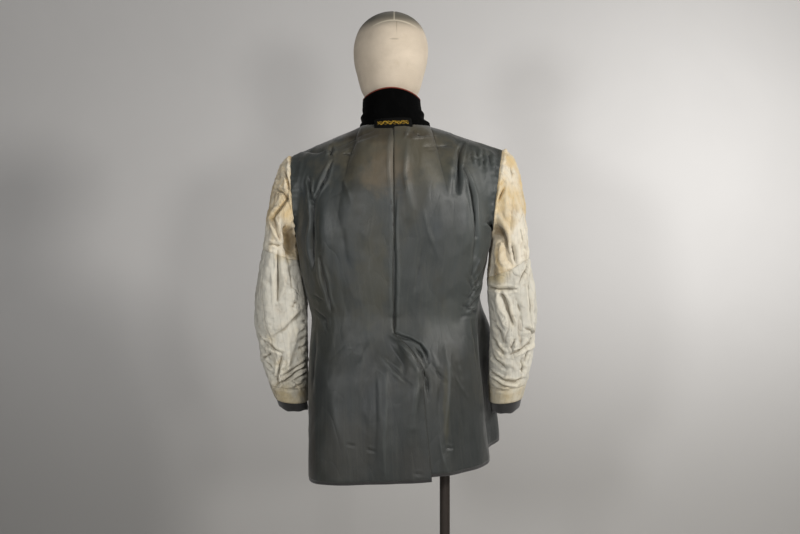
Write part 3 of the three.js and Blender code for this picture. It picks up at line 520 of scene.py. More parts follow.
def crease_lift(creases, across, up):
    """How far the creases lift the cloth. Each is uneven along its length and fades at its ends."""
    lift = np.zeros(np.shape(across))
    for number, row in enumerate(creases):
        path = np.array(row["path"], float)
        lengths = np.hypot(*np.diff(path, axis=0).T)
        whole = lengths.sum()
        away = np.full(np.shape(across), np.inf)
        side = np.zeros(np.shape(across))
        share = np.zeros(np.shape(across))
        start = 0.0
        for (x0, z0), (x1, z1), length in zip(path[:-1], path[1:], lengths):
            dx, dz = (x1 - x0) / length, (z1 - z0) / length
            along = np.clip((across - x0) * dx + (up - z0) * dz, 0, length)
            off = np.hypot(across - x0 - along * dx, up - z0 - along * dz)
            nearer = off < away
            away = np.where(nearer, off, away)
            side = np.where(nearer, dx * (up - z0) - dz * (across - x0), side)
            share = np.where(nearer, (start + along) / whole, share)
            start += length
        width = row["width"] * (1 + 0.22 * np.sin(9 * share + 2.1 * number))
        taper = np.sin(np.pi * np.clip(0.04 + 0.92 * share, 0, 1)) ** 0.7
        taper = taper * (0.86 + 0.14 * np.sin(17 * share + number))
        q = away / width
        if row["kind"] == "pinch":
            profile = 1.35 * np.exp(-(q ** 1.3)) - 0.5 * hump(q - 2.0, 0.9)
        elif row["kind"] == "step":
            profile = np.where(side > 0, np.exp(-((away / row["reach"]) ** 1.4)), np.exp(-(q**2)))
        else:
            profile = np.exp(0.3 - 1.5 * np.sqrt(q * q + 0.04))
        lift += row["height"] * taper * profile
    return lift


def waves(points):
    return np.array([noise.noise(Vector(p)) for p in points])


def rumple(points, sizes, heights, seed, stretch=(1, 1, 1)):
    """Uneven soft swells: for each size in millimetres, waves of that height."""
    lift = np.zeros(len(points))
    for size, height in zip(sizes, heights):
        lift += height * waves(points / (size * np.array(stretch, float)) + 17.3 * seed + 0.37 * size)
    return lift


def crumple(points, size, height, seed, stretch=(1, 1, 1)):
    """Sharp irregular ridges, as in cloth that has been crushed."""
    scaled = points / (size * np.array(stretch, float)) + 31.7 * seed
    bent = scaled + 0.35 * np.array([noise.noise_vector(Vector(p)) for p in scaled * 0.6])
    return height * ((1 - np.abs(waves(bent)) * 2.2) - 0.45)


# ---- the jacket's surfaces ----
def section(z, turn):
    """A place on the body's section. Turn is in degrees from the centre back: 90 right seam, -90 left seam."""
    s, c = sine_cosine(turn)

    def row(name):
        return read(BODY_SECTIONS, "z", name, z)

    power = np.where(c < 0, FRONT_POWER, np.where(s < 0, row("left_exp"), row("right_exp")))
    reach = (np.abs(s) ** power + np.abs(c) ** power) ** (-1 / power)
    swing = np.where((s > 0) & (c < 0), row("bulge") * (1 - (2 * s * s - 1) ** 2) ** 2, 0)
    x = row("x") + np.where(s < 0, row("left"), row("right")) * reach * s + swing
    y = -np.where(c > 0, row("back"), row("front")) * reach * c
    return vectors(x, y, z)


def neck(turn):
    """A place on the neck seam."""
    s, c = sine_cosine(turn)
    x = NECK["x"] + np.where(s < 0, NECK["left"], NECK["right"]) * s
    y = NECK["y"] - np.where(c > 0, NECK["back"], NECK["front"]) * c
    z = np.where(c > 0, mix(NECK["side_z"], NECK["back_z"], c * c), mix(NECK["side_z"], NECK["front_z"], ease(-c)))
    return vectors(x, y, z)


def hem_rise(side, part, s):
    inner, outer = HEM_RISES[part, side]
    from_edge = 1.0 if part == "back" else np.minimum(1, np.maximum(s, 0) * FRONT_WIDTH / FRONT_CORNER)
    return mix(inner, outer, s) + FRONT_CORNER * (1 - np.sqrt(1 - (1 - from_edge) ** 2))


def lining_foot(side, part, s):
    return HEM_EDGE_WIDTH / (ARMPIT_Z - HEM_Z - 3 * hem_rise(side, part, s))


def body_form(side, part, s, v):
    """A place on the body cloth without its folds. s runs from the centre (0) to the side seam and armhole (1),
    v from the hem (0) past the armpit (1) to the shoulder and neck seams (2)."""
    s, v = arrays(s, v)
    sign = -1 if side == "left" else 1
    back = part == "back"

    def turn_at(z):
        if back:
            return mix(read(CENTRE_BACK, "z", "turn", z), sign * 90, s)
        return sign * mix(180 - read(FRONT_OPENING, "z", "turn", z), 90, s)

    z = mix(HEM_Z, ARMPIT_Z, np.minimum(v, 1)) + hem_rise(side, part, s) * np.maximum(1 - v, 0) ** 3
    low = section(z, turn_at(z))
    share = s / NECK_SHARE
    armpit = np.full(s.shape, float(ARMPIT_Z))
    p0 = section(armpit, turn_at(armpit))
    on_neck = neck(sign * mix(0 if back else COLLAR["end_turn"], 90, share))
    shoulder = mix(neck(np.full(s.shape, sign * 90.0)), np.array(SHOULDER_POINTS[side], float),
                   column((s - NECK_SHARE) / (1 - NECK_SHARE)))
    p3 = np.where(column(share) < 1, on_neck, shoulder)
    lean_low, lean_high = ARMHOLE_LEAN[side]
    out = -1 if back else 1
    near_neck = 1 - ease(share)
    near_arm = s**4
    p1 = p0 + vectors(lean_low * s * s, out * mix(9, ARMHOLE["low_reach"], near_arm),
                      mix(80 if back else 62, ARMHOLE["low_rise"], near_arm))
    p2 = p3 + vectors(lean_high * s * s,
                      out * mix(mix(80, 42 if back else 34, near_neck), ARMHOLE["high_reach"], near_arm),
                      mix(mix(-6, -32, near_neck), -ARMHOLE["high_drop"], near_arm))
    return np.where(column(v) <= 1, low, bezier(p0, p1, p2, p3, np.maximum(v - 1, 0)))


def vent_reach(z):
    return VENT_OVERLAP / BACK_PANEL_WIDTH * ease((VENT_TOP_Z - z) / VENT_SLANT)


def vent_lift(s, z):
    return FLAP_LIFT * ease((VENT_TOP_Z + 46 - z) / 26) * (1 - ease((s - 0.03) / 0.1))


def body_cloth(side, part, s, v):
    """The body cloth: its form, the way out from it, and how far folds and creases lift it."""
    back = part == "back"
    form = body_form(side, part, s, v)
    outward = (1 if (side == "right") == back else -1) * normal_of(lambda a, b: body_form(side, part, a, b), s, v)
    x, z = form[:, 0], form[:, 2]

    def mine(rows):
        return [row for row in rows if row["side"] in (None, side)]

    facing = ease((outward[:, 1] * (-1 if back else 1) - 0.12) / 0.5)
    far = ease((1 - s) / 0.12) * ease((2 - v) / 0.12)
    near = ease((1 - s) / 0.03) * ease((2 - v) / 0.03)
    lift = fold_lift(mine(BACK_FOLDS if back else FRONT_FOLDS), x, z) * far
    fine = crease_lift(mine(BACK_CREASES if back else FRONT_CREASES), x, z) * facing
    seed = dict(left=1, right=2)[side] + (0 if back else 4)
    fine += rumple(form, (70, 30), (1.3, 0.5), seed, (1, 1, 2.2))
    near_arm = ease((s - 0.62) / 0.3) * ease((v - 0.35) / 0.4)
    fine += (0.5 + 1.3 * near_arm) * crumple(form, 30, 0.6, seed, (1, 1, 1.8))
    fine += 0.5 * crumple(form, 62, 1.1, seed + 9, (1, 1, 2.4))
    gathers = waves(vectors(0.3 * seed, 4.1, z / GATHERS["spacing"]))
    lift += (GATHERS["height"] * gathers * hump((1 - s) * BACK_PANEL_WIDTH, GATHERS["reach"])
             * ease((v - 1) / 0.1) * ease((2 - v) / 0.1))
    lift += BODY_CREASE_LIFT * fine * near
    if back:
        hidden = ease((1066 - z) / 14) * ease((z - 1014) / 14)
        lift = lift + hidden * 0.8 * hump(np.maximum(s, 0) * BACK_PANEL_WIDTH, 1.9)
    if back and side == "left":
        flap = ease((VENT_TOP_Z - z) / VENT_SLANT) * (1 - ease((s - 0.01) / 0.05))
        lift = mix(lift, np.maximum(lift, -0.3), flap) + vent_lift(s, z)
    if back and side == "right":
        under = ease((VENT_TOP_Z + 10 - z) / 20) * (1 - ease((s - 0.15) / 0.05))
        lift = mix(lift, np.minimum(lift, 0.3), under)
    return form, outward, lift


# ---- the sleeves' surfaces ----
def armhole(side, turn):
    s, c = sine_cosine(turn)
    rise = (1 + c) / 2

    def edge_at(share):
        one = np.full(rise.shape, share)
        back, front = (body_form(side, part, one, 1 + rise) for part in ("back", "front"))
        return np.where(column(s >= 0), back, front)

    edge = edge_at(1.0)
    return edge, rise, unit(edge - edge_at(1 - 1e-3))


def tube(side, turn, level):
    sleeve = SLEEVES[side]

    def row(name):
        return read(sleeve["rings"], "z", name, level)

    s, c = sine_cosine(turn)
    return vectors(row("x") + sleeve["sign"] * row("across") * c, row("y") - row("deep") * s,
                   level + row("out_rise") * (1 + c) / 2 + row("fore_rise") * (1 - s) / 2)


def head_seam(side, turn):
    return SLEEVES[side]["seam_z"] + SLEEVES[side]["seam_rise"] * np.cos(np.radians(turn))


def sleeve_form(side, turn, along):
    """A place on the sleeve: from the cuff (0) to the head's seam (1), then on up to the armhole (2)."""
    turn, along = arrays(turn, along)
    seam = head_seam(side, turn)
    below = tube(side, turn, mix(SLEEVES[side]["rings"][0]["z"], seam, np.minimum(along, 1)))
    low = tube(side, turn, seam)
    up = low - tube(side, turn, seam - 1)
    edge, rise, way = armhole(side, turn)
    sideways = np.array([SLEEVES[side]["sign"], 0.0, 0.0])
    down = np.array([0.0, 0.0, -1.0])
    outward = unit(mix(sideways, way, column(ease(rise / 0.5))))
    bend = unit(mix(down, way, column(ease(rise / 0.9))))
    top = edge + outward * column(mix(WALL + SEAM_GAP, SEAM_GAP, ease((rise - 0.1) / 0.7)))
    height = column(np.linalg.norm(top - low, axis=-1))
    head = bezier(low, low + up * height * 0.4, top + bend * height * column(mix(0.3, 0.24, rise)), top,
                  np.maximum(along - 1, 0))
    return np.where(column(along) <= 1, below, head)


def grid_places(mesh, columns, rows):
    """A grid of vertices added to the mesh, with how far across and up each one lies, from 0 to 1."""
    bmesh.ops.create_grid(mesh, x_segments=columns, y_segments=rows, size=0.5)
    verts = list(mesh.verts)
    return verts, np.array([vert.co.x + 0.5 for vert in verts]), np.array([vert.co.y + 0.5 for vert in verts])


def settle_sleeve(side):
    """Crushes one long tube of slack cloth, held at cuff and armhole, and gives how far each place of it moved."""
    rows = SETTLE["low_rows"] + SETTLE["high_rows"]
    mesh = bmesh.new()
    verts, u, v = grid_places(mesh, SETTLE["columns"], rows)
    row = v * rows
    along = np.where(row <= SETTLE["low_rows"], row / SETTLE["low_rows"],
                     1 + (row - SETTLE["low_rows"]) / SETTLE["high_rows"])
    turn = 360 * u
    form = sleeve_form(side, turn, along)
    outward = -SLEEVES[side]["sign"] * normal_of(lambda a, b: sleeve_form(side, a, b), turn, along)
    form = form + outward * column(rumple(form, (40, 18), (1.6, 0.9), dict(left=41, right=42)[side]))
    for i, vert in enumerate(verts):
        vert.co = form[i] * MM
    order = np.lexsort((u.round(6), row.round(3)))
    data = bpy.data.meshes.new("settling")
    mesh.to_mesh(data)
    mesh.free()
    slack = bpy.data.objects.new("settling", data)
    bpy.context.scene.collection.objects.link(slack)
    held = slack.vertex_groups.new(name="held")
    z = form[:, 2]
    outer = (1 + np.cos(np.radians(turn))) / 2
    loose = ease((z - 928) / 30) * ease((2 - along) / 0.25)
    grip = 0.16 - 0.10 * hump(z - 1005, 60) - 0.05 * ease((along - 1) / 0.3) + 0.1 * ease((0.3 - outer) / 0.3)
    seam = np.minimum(u, 1 - u) < 1e-6
    weight = np.where(seam & (loose > 0), np.maximum(grip, 0.6), np.maximum(grip, 0.03))
    weight = mix(1.0, weight, loose)
    for i in range(len(verts)):
        held.add([i], float(weight[i]), "REPLACE")
    cloth = slack.modifiers.new("Cloth", "CLOTH")
    for name, value in SLACK_CLOTH.items():
        setattr(cloth.settings, name, value)
    cloth.settings.effector_weights.gravity = 0.4
    cloth.collision_settings.use_collision = False
    cloth.point_cache.frame_start = 1
    cloth.point_cache.frame_end = SETTLE["frames"]
    for number in range(1, SETTLE["frames"] + 1):
        bpy.context.scene.frame_set(number)
    settled = slack.evaluated_get(bpy.context.evaluated_depsgraph_get())
    places = np.empty(len(verts) * 3)
    settled.data.vertices.foreach_get("co", places)
    moved = (places.reshape(-1, 3) / MM - form)[order].reshape(rows + 1, SETTLE["columns"] + 1, 3)
    bpy.data.objects.remove(slack)
    bpy.context.scene.frame_set(1)
    moved[:, 0] = moved[:, -1] = (moved[:, 0] + moved[:, -1]) / 2
    calm = moved.copy()
    calm[1:-1, 1:-1] = (4 * moved[1:-1, 1:-1] + moved[:-2, 1:-1] + moved[2:, 1:-1] + moved[1:-1, :-2]
                        + moved[1:-1, 2:]) / 8
    far = np.linalg.norm(calm, axis=2, keepdims=True)
    return SETTLE["share"] * calm * np.minimum(1, SETTLE["most"] / np.maximum(far, 1e-6))


SETTLED = {side: settle_sleeve(side) for side in SLEEVES}


def moved_by_settling(side, turn, along):
    low_rows, high_rows = SETTLE["low_rows"], SETTLE["high_rows"]
    across = np.mod(turn, 360) / 360 * SETTLE["columns"]
    up = np.where(along <= 1, along * low_rows, low_rows + (along - 1) * high_rows)
    i = np.clip(across.astype(int), 0, SETTLE["columns"] - 1)
    j = np.clip(up.astype(int), 0, low_rows + high_rows - 1)
    a, b = column(across - i), column(up - j)
    grid = SETTLED[side]
    return mix(mix(grid[j, i], grid[j, i + 1], a), mix(grid[j + 1, i], grid[j + 1, i + 1], a), b)


def sleeve_cloth(side, turn, along, inset=0.0):
    """The sleeve's cloth: its form, the way out from it, and how far folds and creases lift it. The hidden front
    of each sleeve is creased as the other one's back is."""
    form = sleeve_form(side, turn, along)
    outward = -SLEEVES[side]["sign"] * normal_of(lambda a, b: sleeve_form(side, a, b), turn, along)
    x, z = form[:, 0], form[:, 2]
    unrolled = [dict(row, x0=row["x0"] * SLEEVE_DEGREE, x1=row["x1"] * SLEEVE_DEGREE) for row in SLEEVE_FOLDS[side]]
    lift = sum(fold_lift(unrolled, (turn + whole) * SLEEVE_DEGREE, z) for whole in (-360, 0, 360))
    lift = lift * ease((z - CUFF_EDGE_TOP_Z) / 40) * ease((2 - along) / 0.3)
    facing = ease((-outward[:, 1] - 0.05) / 0.4)
    fine = np.clip(2.8 * crease_lift(SLEEVE_CREASES[side], x, z), -9.5, 7) * facing
    fine += fold_lift(SLEEVE_HOLLOWS[side], x, z) * facing
    other = dict(left="right", right="left")[side]
    hidden = ease((outward[:, 1] - 0.05) / 0.4)
    fine += np.clip(2.4 * crease_lift(SLEEVE_CREASES[other], -x, z), -8, 6) * hidden
    seed = dict(left=11, right=12)[side]
    cosine = np.cos(np.radians(turn))
    elbow = hump(z - 1010, 55) * (0.35 + 0.65 * ease((cosine + 0.3) / 0.9))
    head = ease((along - 0.95) / 0.3)
    fine += rumple(form, (44, 20), (1.9, 0.6), seed, (1, 1, 2.6)) * (1 + 0.5 * head)
    fine += (0.7 + 1.7 * elbow + 0.9 * head) * crumple(form, 26, 1.1, seed, (1, 1, 1.7))
    fine += (0.35 + 1.2 * elbow + 0.5 * head) * crumple(form, 12, 0.6, seed + 3)
    near = ease((2 - along) / 0.04) * mix(0.35, 1.0, ease((z - 925) / 30))
    from_armhole = (2 - along) * (60 + 65 * (1 + cosine))
    tucks = waves(vectors(seed, z / 10, from_armhole / 40))
    seam_ridge = hump(from_armhole - 7 - 5 * tucks, 4)
    tucked = TUCK_HEIGHT * seam_ridge * (1 + tucks) + TUCK_HEIGHT * tucks * hump(from_armhole, 26)
    fine += np.where(along > 1, tucked, 0)
    inner = ease((-SLEEVES[side]["sign"] * outward[:, 0] - 0.1) / 0.6)
    slump = SLUMP[side]["depth"] * hump(z - SLUMP[side]["z"], 62)
    lift = lift + slump * inner * ease((2 - along) / 0.35)
    return form + moved_by_settling(side, turn, along), outward, lift + fine * near - inset


# ---- collar and label ----
def collar_form(turn, v):
    turn, v = arrays(turn, v)
    s, c = sine_cosine(turn)
    base = neck(turn)
    base_z = base[..., 2] + mix(COLLAR["foot_gap"], COLLAR["end_gap"], ease(-c))
    top_x = COLLAR["x"] + COLLAR["across"] * s
    top_y = COLLAR["y"] - np.where(c > 0, COLLAR["back"], COLLAR["front"]) * c
    top_z = mix(COLLAR["side_z"], np.where(c > 0, COLLAR["back_z"], COLLAR["front_z"]), c * c)
    narrowing = 1 - np.maximum(0, 1 - v) ** 2.2
    return vectors(mix(base[..., 0], top_x, narrowing), mix(base[..., 1], top_y, narrowing), mix(base_z, top_z, v))


def label_form(u, v):
    u, v = arrays(u, v)
    spread = math.degrees(LABEL["width"] / 2 / NECK["back"])
    turn = LABEL["turn"] + mix(-spread, spread, u)
    top = collar_form(turn, LABEL["above_seam"] / COLLAR_HEIGHT)
    top = top + normal_of(collar_form, turn, np.full(turn.shape, 0.1)) * (COLLAR["wall"] / 2 + LABEL["lift"])
    share = np.abs(turn) / 90 * NECK_SHARE
    foot = np.zeros(turn.shape + (3,))
    for side, outward in (("left", -1), ("right", 1)):
        def place(a, b):
            return body_form(side, "back", a, b)

        there = place(share, np.full(turn.shape, 2 - LABEL["below_seam"] / NECK_RUN))
        out = normal_of(place, share, np.full(turn.shape, 2.0)) * outward * (WALL / 2 + LABEL["lift"])
        mine = column(turn < 0 if side == "left" else turn >= 0)
        foot = np.where(mine, there + out, foot)
    return mix(foot, top, column(v))


# ---- making meshes ----
def finished(name, mesh, materials):
    """A piece from a bmesh in millimetres: in metres, on its own object at the origin."""
    bmesh.ops.scale(mesh, vec=(MM, MM, MM), verts=mesh.verts)
    for face in mesh.faces:
        face.smooth = True
    data = bpy.data.meshes.new(name)
    mesh.to_mesh(data)
    mesh.free()
    piece = bpy.data.objects.new(name, data)
    bpy.context.scene.collection.objects.link(piece)
    for material in materials:
        data.materials.append(material)
    return piece


def smoothed(laid, reach):
    """Each place of a laid-out sheet averaged with its neighbours, both ways."""
    for axis in (0, 1):
        margin = [(reach, reach) if a == axis else (0, 0) for a in range(laid.ndim)]
        wide = np.pad(laid, margin, mode="edge")
        steps = range(2 * reach + 1)
        laid = sum(np.take(wide, range(i, i + laid.shape[axis]), axis=axis) for i in steps) / len(steps)
    return laid


def cloth_sheet(name, surface, columns, rows, face, inside, wall=WALL, ring=False, rolls=(0.9,) * 4):
    """A sheet of cloth. surface(u, v) gives its form, the way out and the lift. Its start, end, low and high edges
    roll in by the rolls. The sheet keeps how far each place is from its edge, and how far it stands out from the
    cloth round it: the materials paint a highlight on ridges, which stand above nothing, and shade in creases,
    which lie below."""
    mesh = bmesh.new()
    uv = mesh.loops.layers.uv.new("Cloth")
    from_edge = mesh.verts.layers.float.new("from_edge")
    standing = mesh.verts.layers.float.new("standing")
    verts, u, v = grid_places(mesh, columns, rows)
    form, outward, lift = surface(u, v)
    order = np.lexsort((u.round(6), v.round(6)))
    laid = form[order].reshape(rows + 1, columns + 1, 3)
    steps = np.linalg.norm(np.diff(laid, axis=1), axis=2)
    across = np.concatenate([np.zeros((rows + 1, 1)), np.cumsum(steps, axis=1)], axis=1)
    climbs = np.linalg.norm(np.diff(laid, axis=0), axis=2)
    up = np.concatenate([np.zeros((1, columns + 1)), np.cumsum(climbs, axis=0)], axis=0)
    to_edges = np.empty((len(verts), 4))
    for i, values in enumerate((across, across[:, -1:] - across, up, up[-1:] - up)):
        to_edges[order, i] = values.ravel()
    for i, depth in enumerate(rolls):
        if not (ring and i < 2):
            lift = lift - depth * hump(to_edges[:, i], ROLL_WIDTH)
    points = form + outward * column(lift)
    sheet = points[order].reshape(rows + 1, columns + 1, 3)
    raised = np.empty(len(verts))
    raised[order] = ((sheet - smoothed(sheet, 4)) * outward[order].reshape(sheet.shape)).sum(axis=2).ravel()
    middle = across - (0 if ring else across[:, -1:] / 2)
    flat = np.empty((len(verts), 2))
    flat[order, 0] = (middle * MM).ravel()
    flat[order, 1] = (up * MM).ravel()
    edge_map = to_edges[:, 2:].min(axis=1) if ring else to_edges.min(axis=1)
    for i, vert in enumerate(verts):
        vert.co = points[i]
        vert.index = i
    for i, vert in enumerate(verts):
        vert[from_edge] = edge_map[i] * MM
        vert[standing] = raised[i]
        for loop in vert.link_loops:
            loop[uv].uv = flat[i]
    mesh.normal_update()
    seen = sum(face.normal.dot(Vector(outward[face.verts[0].index])) for face in mesh.faces)
    if seen < 0:
        bmesh.ops.reverse_faces(mesh, faces=mesh.faces)
    if ring:
        bmesh.ops.remove_doubles(mesh, verts=mesh.verts, dist=1e-3)
    area = sum(face.calc_area() for face in mesh.faces) * MM * MM
    cut = (float(across[:, -1].max()) * MM * TURNINGS, float(up[-1].max()) * MM * TURNINGS)
    piece = finished(name, mesh, [face, inside])
    thick = piece.modifiers.new("Wall", "SOLIDIFY")
    thick.thickness = wall * MM
    thick.offset = 0
    thick.material_offset = 1
    thick.material_offset_rim = 1
    return piece, cut, area


# ---- materials ----
def tone(red, green, blue):
    """A colour as a screen shows it, 0 to 255, in linear light."""
    return tuple(((c / 255 + 0.055) / 1.055) ** 2.4 for c in (red, green, blue)) + (1.0,)


class Recipe:
    """Lays nodes into a material or a group."""

    def __init__(self, tree):
        self.tree = tree

    def node(self, kind, sockets=None, **settings):
        node = self.tree.nodes.new(kind)
        for name, value in settings.items():
            setattr(node, name, value)
        for key, value in (sockets or {}).items():
            self.feed(node.inputs[key], value)
        return node

    def feed(self, socket, value):
        if isinstance(value, bpy.types.NodeSocket):
            self.tree.links.new(value, socket)
        else:
            socket.default_value = value

    def math(self, operation, *values, clamp=False):
        node = self.node("ShaderNodeMath", dict(enumerate(values)), operation=operation, use_clamp=clamp)
        return node.outputs[0]

    plus = partialmethod(math, "ADD")
    minus = partialmethod(math, "SUBTRACT")
    times = partialmethod(math, "MULTIPLY")
    over = partialmethod(math, "DIVIDE")
    times_plus = partialmethod(math, "MULTIPLY_ADD")
    absolute = partialmethod(math, "ABSOLUTE")
    sine = partialmethod(math, "SINE")
    most = partialmethod(math, "MAXIMUM")

    def vector(self, operation, *values):
        node = self.node("ShaderNodeVectorMath", dict(enumerate(values)), operation=operation)
        return node.outputs["Value" if operation == "LENGTH" else "Vector"]

    def blend(self, share, a, b):
        return self.node("ShaderNodeMix", {0: share, 6: a, 7: b}, data_type="RGBA", blend_type="MIX").outputs[2]

    def ramp(self, value, low, high, to_low=0.0, to_high=1.0):
        node = self.node("ShaderNodeMapRange", {"Value": value, "From Min": low, "From Max": high,
                                                "To Min": to_low, "To Max": to_high},
                         interpolation_type="SMOOTHSTEP")
        return node.outputs["Result"]

    def line(self, away, outer, inner):
        """1 within inner of nothing and 0 past outer, on both sides."""
        return self.ramp(self.absolute(away), outer, inner)

    def noise(self, coordinate, scale, detail=2.0, roughness=0.5, distortion=0.0):
        node = self.node("ShaderNodeTexNoise", {"Vector": coordinate, "Scale": scale, "Detail": detail,
                                                "Roughness": roughness, "Distortion": distortion})
        return node.outputs["Fac"]

    def axes(self, coordinate):
        return self.node("ShaderNodeSeparateXYZ", {0: coordinate}).outputs

    def stretched(self, coordinate, scale, turn=(0.0, 0.0, 0.0)):
        return self.node("ShaderNodeMapping", {"Vector": coordinate, "Scale": scale, "Rotation": turn}).outputs[0]

    def use(self, group, *values):
        node = self.node("ShaderNodeGroup", dict(enumerate(values)), node_tree=group)
        return node.outputs[0]


def group(name, output, **inputs):
    """A new node group with named inputs, each given its start value, and one named output."""
    tree = bpy.data.node_groups.new(name, "ShaderNodeTree")
    for label, start in inputs.items():
        kind = "NodeSocketVector" if isinstance(start, tuple) else "NodeSocketFloat"
        tree.interface.new_socket(label, in_out="INPUT", socket_type=kind).default_value = start
    tree.interface.new_socket(output, in_out="OUTPUT", socket_type="NodeSocketFloat")
    recipe = Recipe(tree)
    return tree, recipe, recipe.node("NodeGroupInput").outputs, recipe.node("NodeGroupOutput").inputs[0]


def threads_group():
    """The weave: threads along both ways of the cloth, each an uneven round rib. Slant leans them to a twill."""
    tree, r, given, out = group("threads", "Height", Coordinate=(0, 0, 0), Pitch=0.0005, Slant=0.0)
    across, up, _ = r.axes(given["Coordinate"])
    slubs = r.times(r.noise(given["Coordinate"], 260.0), 1.6)
    turns = r.over(math.pi, given["Pitch"])
    lean = r.times_plus(up, given["Slant"], across)
    warp = r.absolute(r.sine(r.times_plus(lean, turns, slubs)))
    weft = r.absolute(r.sine(r.times_plus(up, turns, slubs)))
    r.feed(out, r.times_plus(weft, 0.55, r.times(warp, 0.45)))
    return tree


def patch_group():
    """A soft-edged uneven patch round a place."""
    tree, r, given, out = group("patch", "Mask", Coordinate=(0, 0, 0), Centre=(0, 0, 0), Size=(0.1, 0.1, 0.1),
                                Ragged=0.5)
    off = r.vector("SUBTRACT", given["Coordinate"], given["Centre"])
    away = r.vector("LENGTH", r.vector("DIVIDE", off, given["Size"]))
    uneven = r.times(r.minus(r.noise(given["Coordinate"], 38.0, 3.0), 0.5), given["Ragged"])
    r.feed(out, r.ramp(r.plus(away, uneven), 1.0, 0.35))
    return tree


def mottle_group():
    """Cloudy unevenness of colour."""
    tree, r, given, out = group("mottle", "Mask", Coordinate=(0, 0, 0), Scale=20.0, Low=0.4, High=0.65)
    r.feed(out, r.ramp(r.noise(given["Coordinate"], given["Scale"], 4.0, 0.6, 0.4), given["Low"], given["High"]))
    return tree


def creases_group():
    """Crisp thin creases running crookedly over the cloth, with flat facets between them."""
    tree, r, given, out = group("creases", "Height", Coordinate=(0, 0, 0), Scale=16.0, Width=0.08)
    away = r.absolute(r.minus(r.noise(given["Coordinate"], given["Scale"], 2.0, 0.5, 0.5), 0.5))
    r.feed(out, r.over(away, r.plus(away, given["Width"])))
    return tree


THREADS, PATCH, MOTTLE, CREASES = threads_group(), patch_group(), mottle_group(), creases_group()


class Finish(Recipe):
    """A material, laid from a place on its piece to its shader's sockets."""

    def __init__(self, name):
        self.material = bpy.data.materials.new(name)
        self.material.use_nodes = True
        super().__init__(self.material.node_tree)
        self.shader = self.tree.nodes["Principled BSDF"]
        self.place = self.node("ShaderNodeTexCoord").outputs["Object"]

    def on_cloth(self):
        return self.node("ShaderNodeUVMap", uv_map="Cloth").outputs[0]

    def kept(self, name):
        """A number that the cloth keeps at each of its places."""
        return self.node("ShaderNodeAttribute", attribute_name=name).outputs["Fac"]

    def mottled(self, scale, low, high, a, b):
        return self.blend(self.use(MOTTLE, self.place, scale, low, high), a, b)

    def crease_shade_and_ridge_highlight(self, colour, crease_shade, rubbed, deep, high, share):
        """Painted shade in the creases and painted highlight on the ridges, by how far each place stands out."""
        # Painted shade: the second colour darkens the creases. Painted highlight: the third colour lightens the
        # ridges.
        standing = self.kept("standing")
        colour = self.blend(self.ramp(standing, -0.3, -deep, 0.0, share), colour, crease_shade)
        return self.blend(self.ramp(standing, 0.35, high, 0.0, share / 2), colour, rubbed)

    def made(self, colour, roughness, height=None, strength=1.0, depth=0.001, **plain):
        """Feeds the shader. Plain values are set on its own sockets, and height bumps the surface."""
        self.feed(self.shader.inputs["Base Color"], colour)
        self.feed(self.shader.inputs["Roughness"], roughness)
        for label, value in plain.items():
            self.shader.inputs[label.replace("_", " ")].default_value = value
        if height is not None:
            bump = self.node("ShaderNodeBump", {"Height": height, "Strength": strength, "Distance": depth})
            self.feed(self.shader.inputs["Normal"], bump.outputs[0])
        return self.material


THROUGH = 0.2  # patches on the lining reach this deep, so that they lie on its back alone
SATIN_STAINS_AND_HIGHLIGHTS = [  # stains, and painted highlights on the lit right side: centre, width, height, strength, colour
    ((-0.015, -0.09, 1.44), 0.21, 0.095, 0.65, tone(91, 85, 69)),
    ((-0.03, -0.1, 1.40), 0.06, 0.07, 0.5, tone(104, 90, 70)),
    ((-0.07, -0.1, 1.475), 0.10, 0.022, 0.6, tone(58, 49, 36)),
    ((0.035, -0.1, 1.472), 0.05, 0.014, 0.5, tone(62, 53, 40)),
    ((-0.055, -0.12, 1.17), 0.05, 0.13, 0.35, tone(76, 72, 54)),
    ((-0.184, -0.06, 0.86), 0.016, 0.17, 0.5, tone(86, 70, 52)),
    ((0.094, -0.12, 0.92), 0.008, 0.11, 0.55, tone(100, 92, 58)),
    ((-0.11, -0.13, 0.83), 0.09, 0.09, 0.4, tone(76, 68, 54)),
    ((0.03, -0.13, 0.80), 0.05, 0.06, 0.35, tone(76, 66, 56)),
    # The three lighter patches below are painted highlights, where the light falls on the right side.
    ((0.17, -0.08, 1.33), 0.06, 0.16, 0.35, tone(84, 89, 86)),
    ((0.08, -0.1, 1.40), 0.05, 0.05, 0.3, tone(96, 94, 80)),
    ((0.10, -0.11, 1.08), 0.07, 0.07, 0.3, tone(84, 88, 84)),
]
SATIN_HOLES = [  # worn through at the centre back: centre and size
    ((-0.018, -0.12, 1.331), (0.003, 0.1, 0.009)),
    ((-0.0155, -0.12, 1.316), (0.003, 0.1, 0.007)),
    ((-0.014, -0.12, 1.285), (0.0025, 0.1, 0.006)),
]


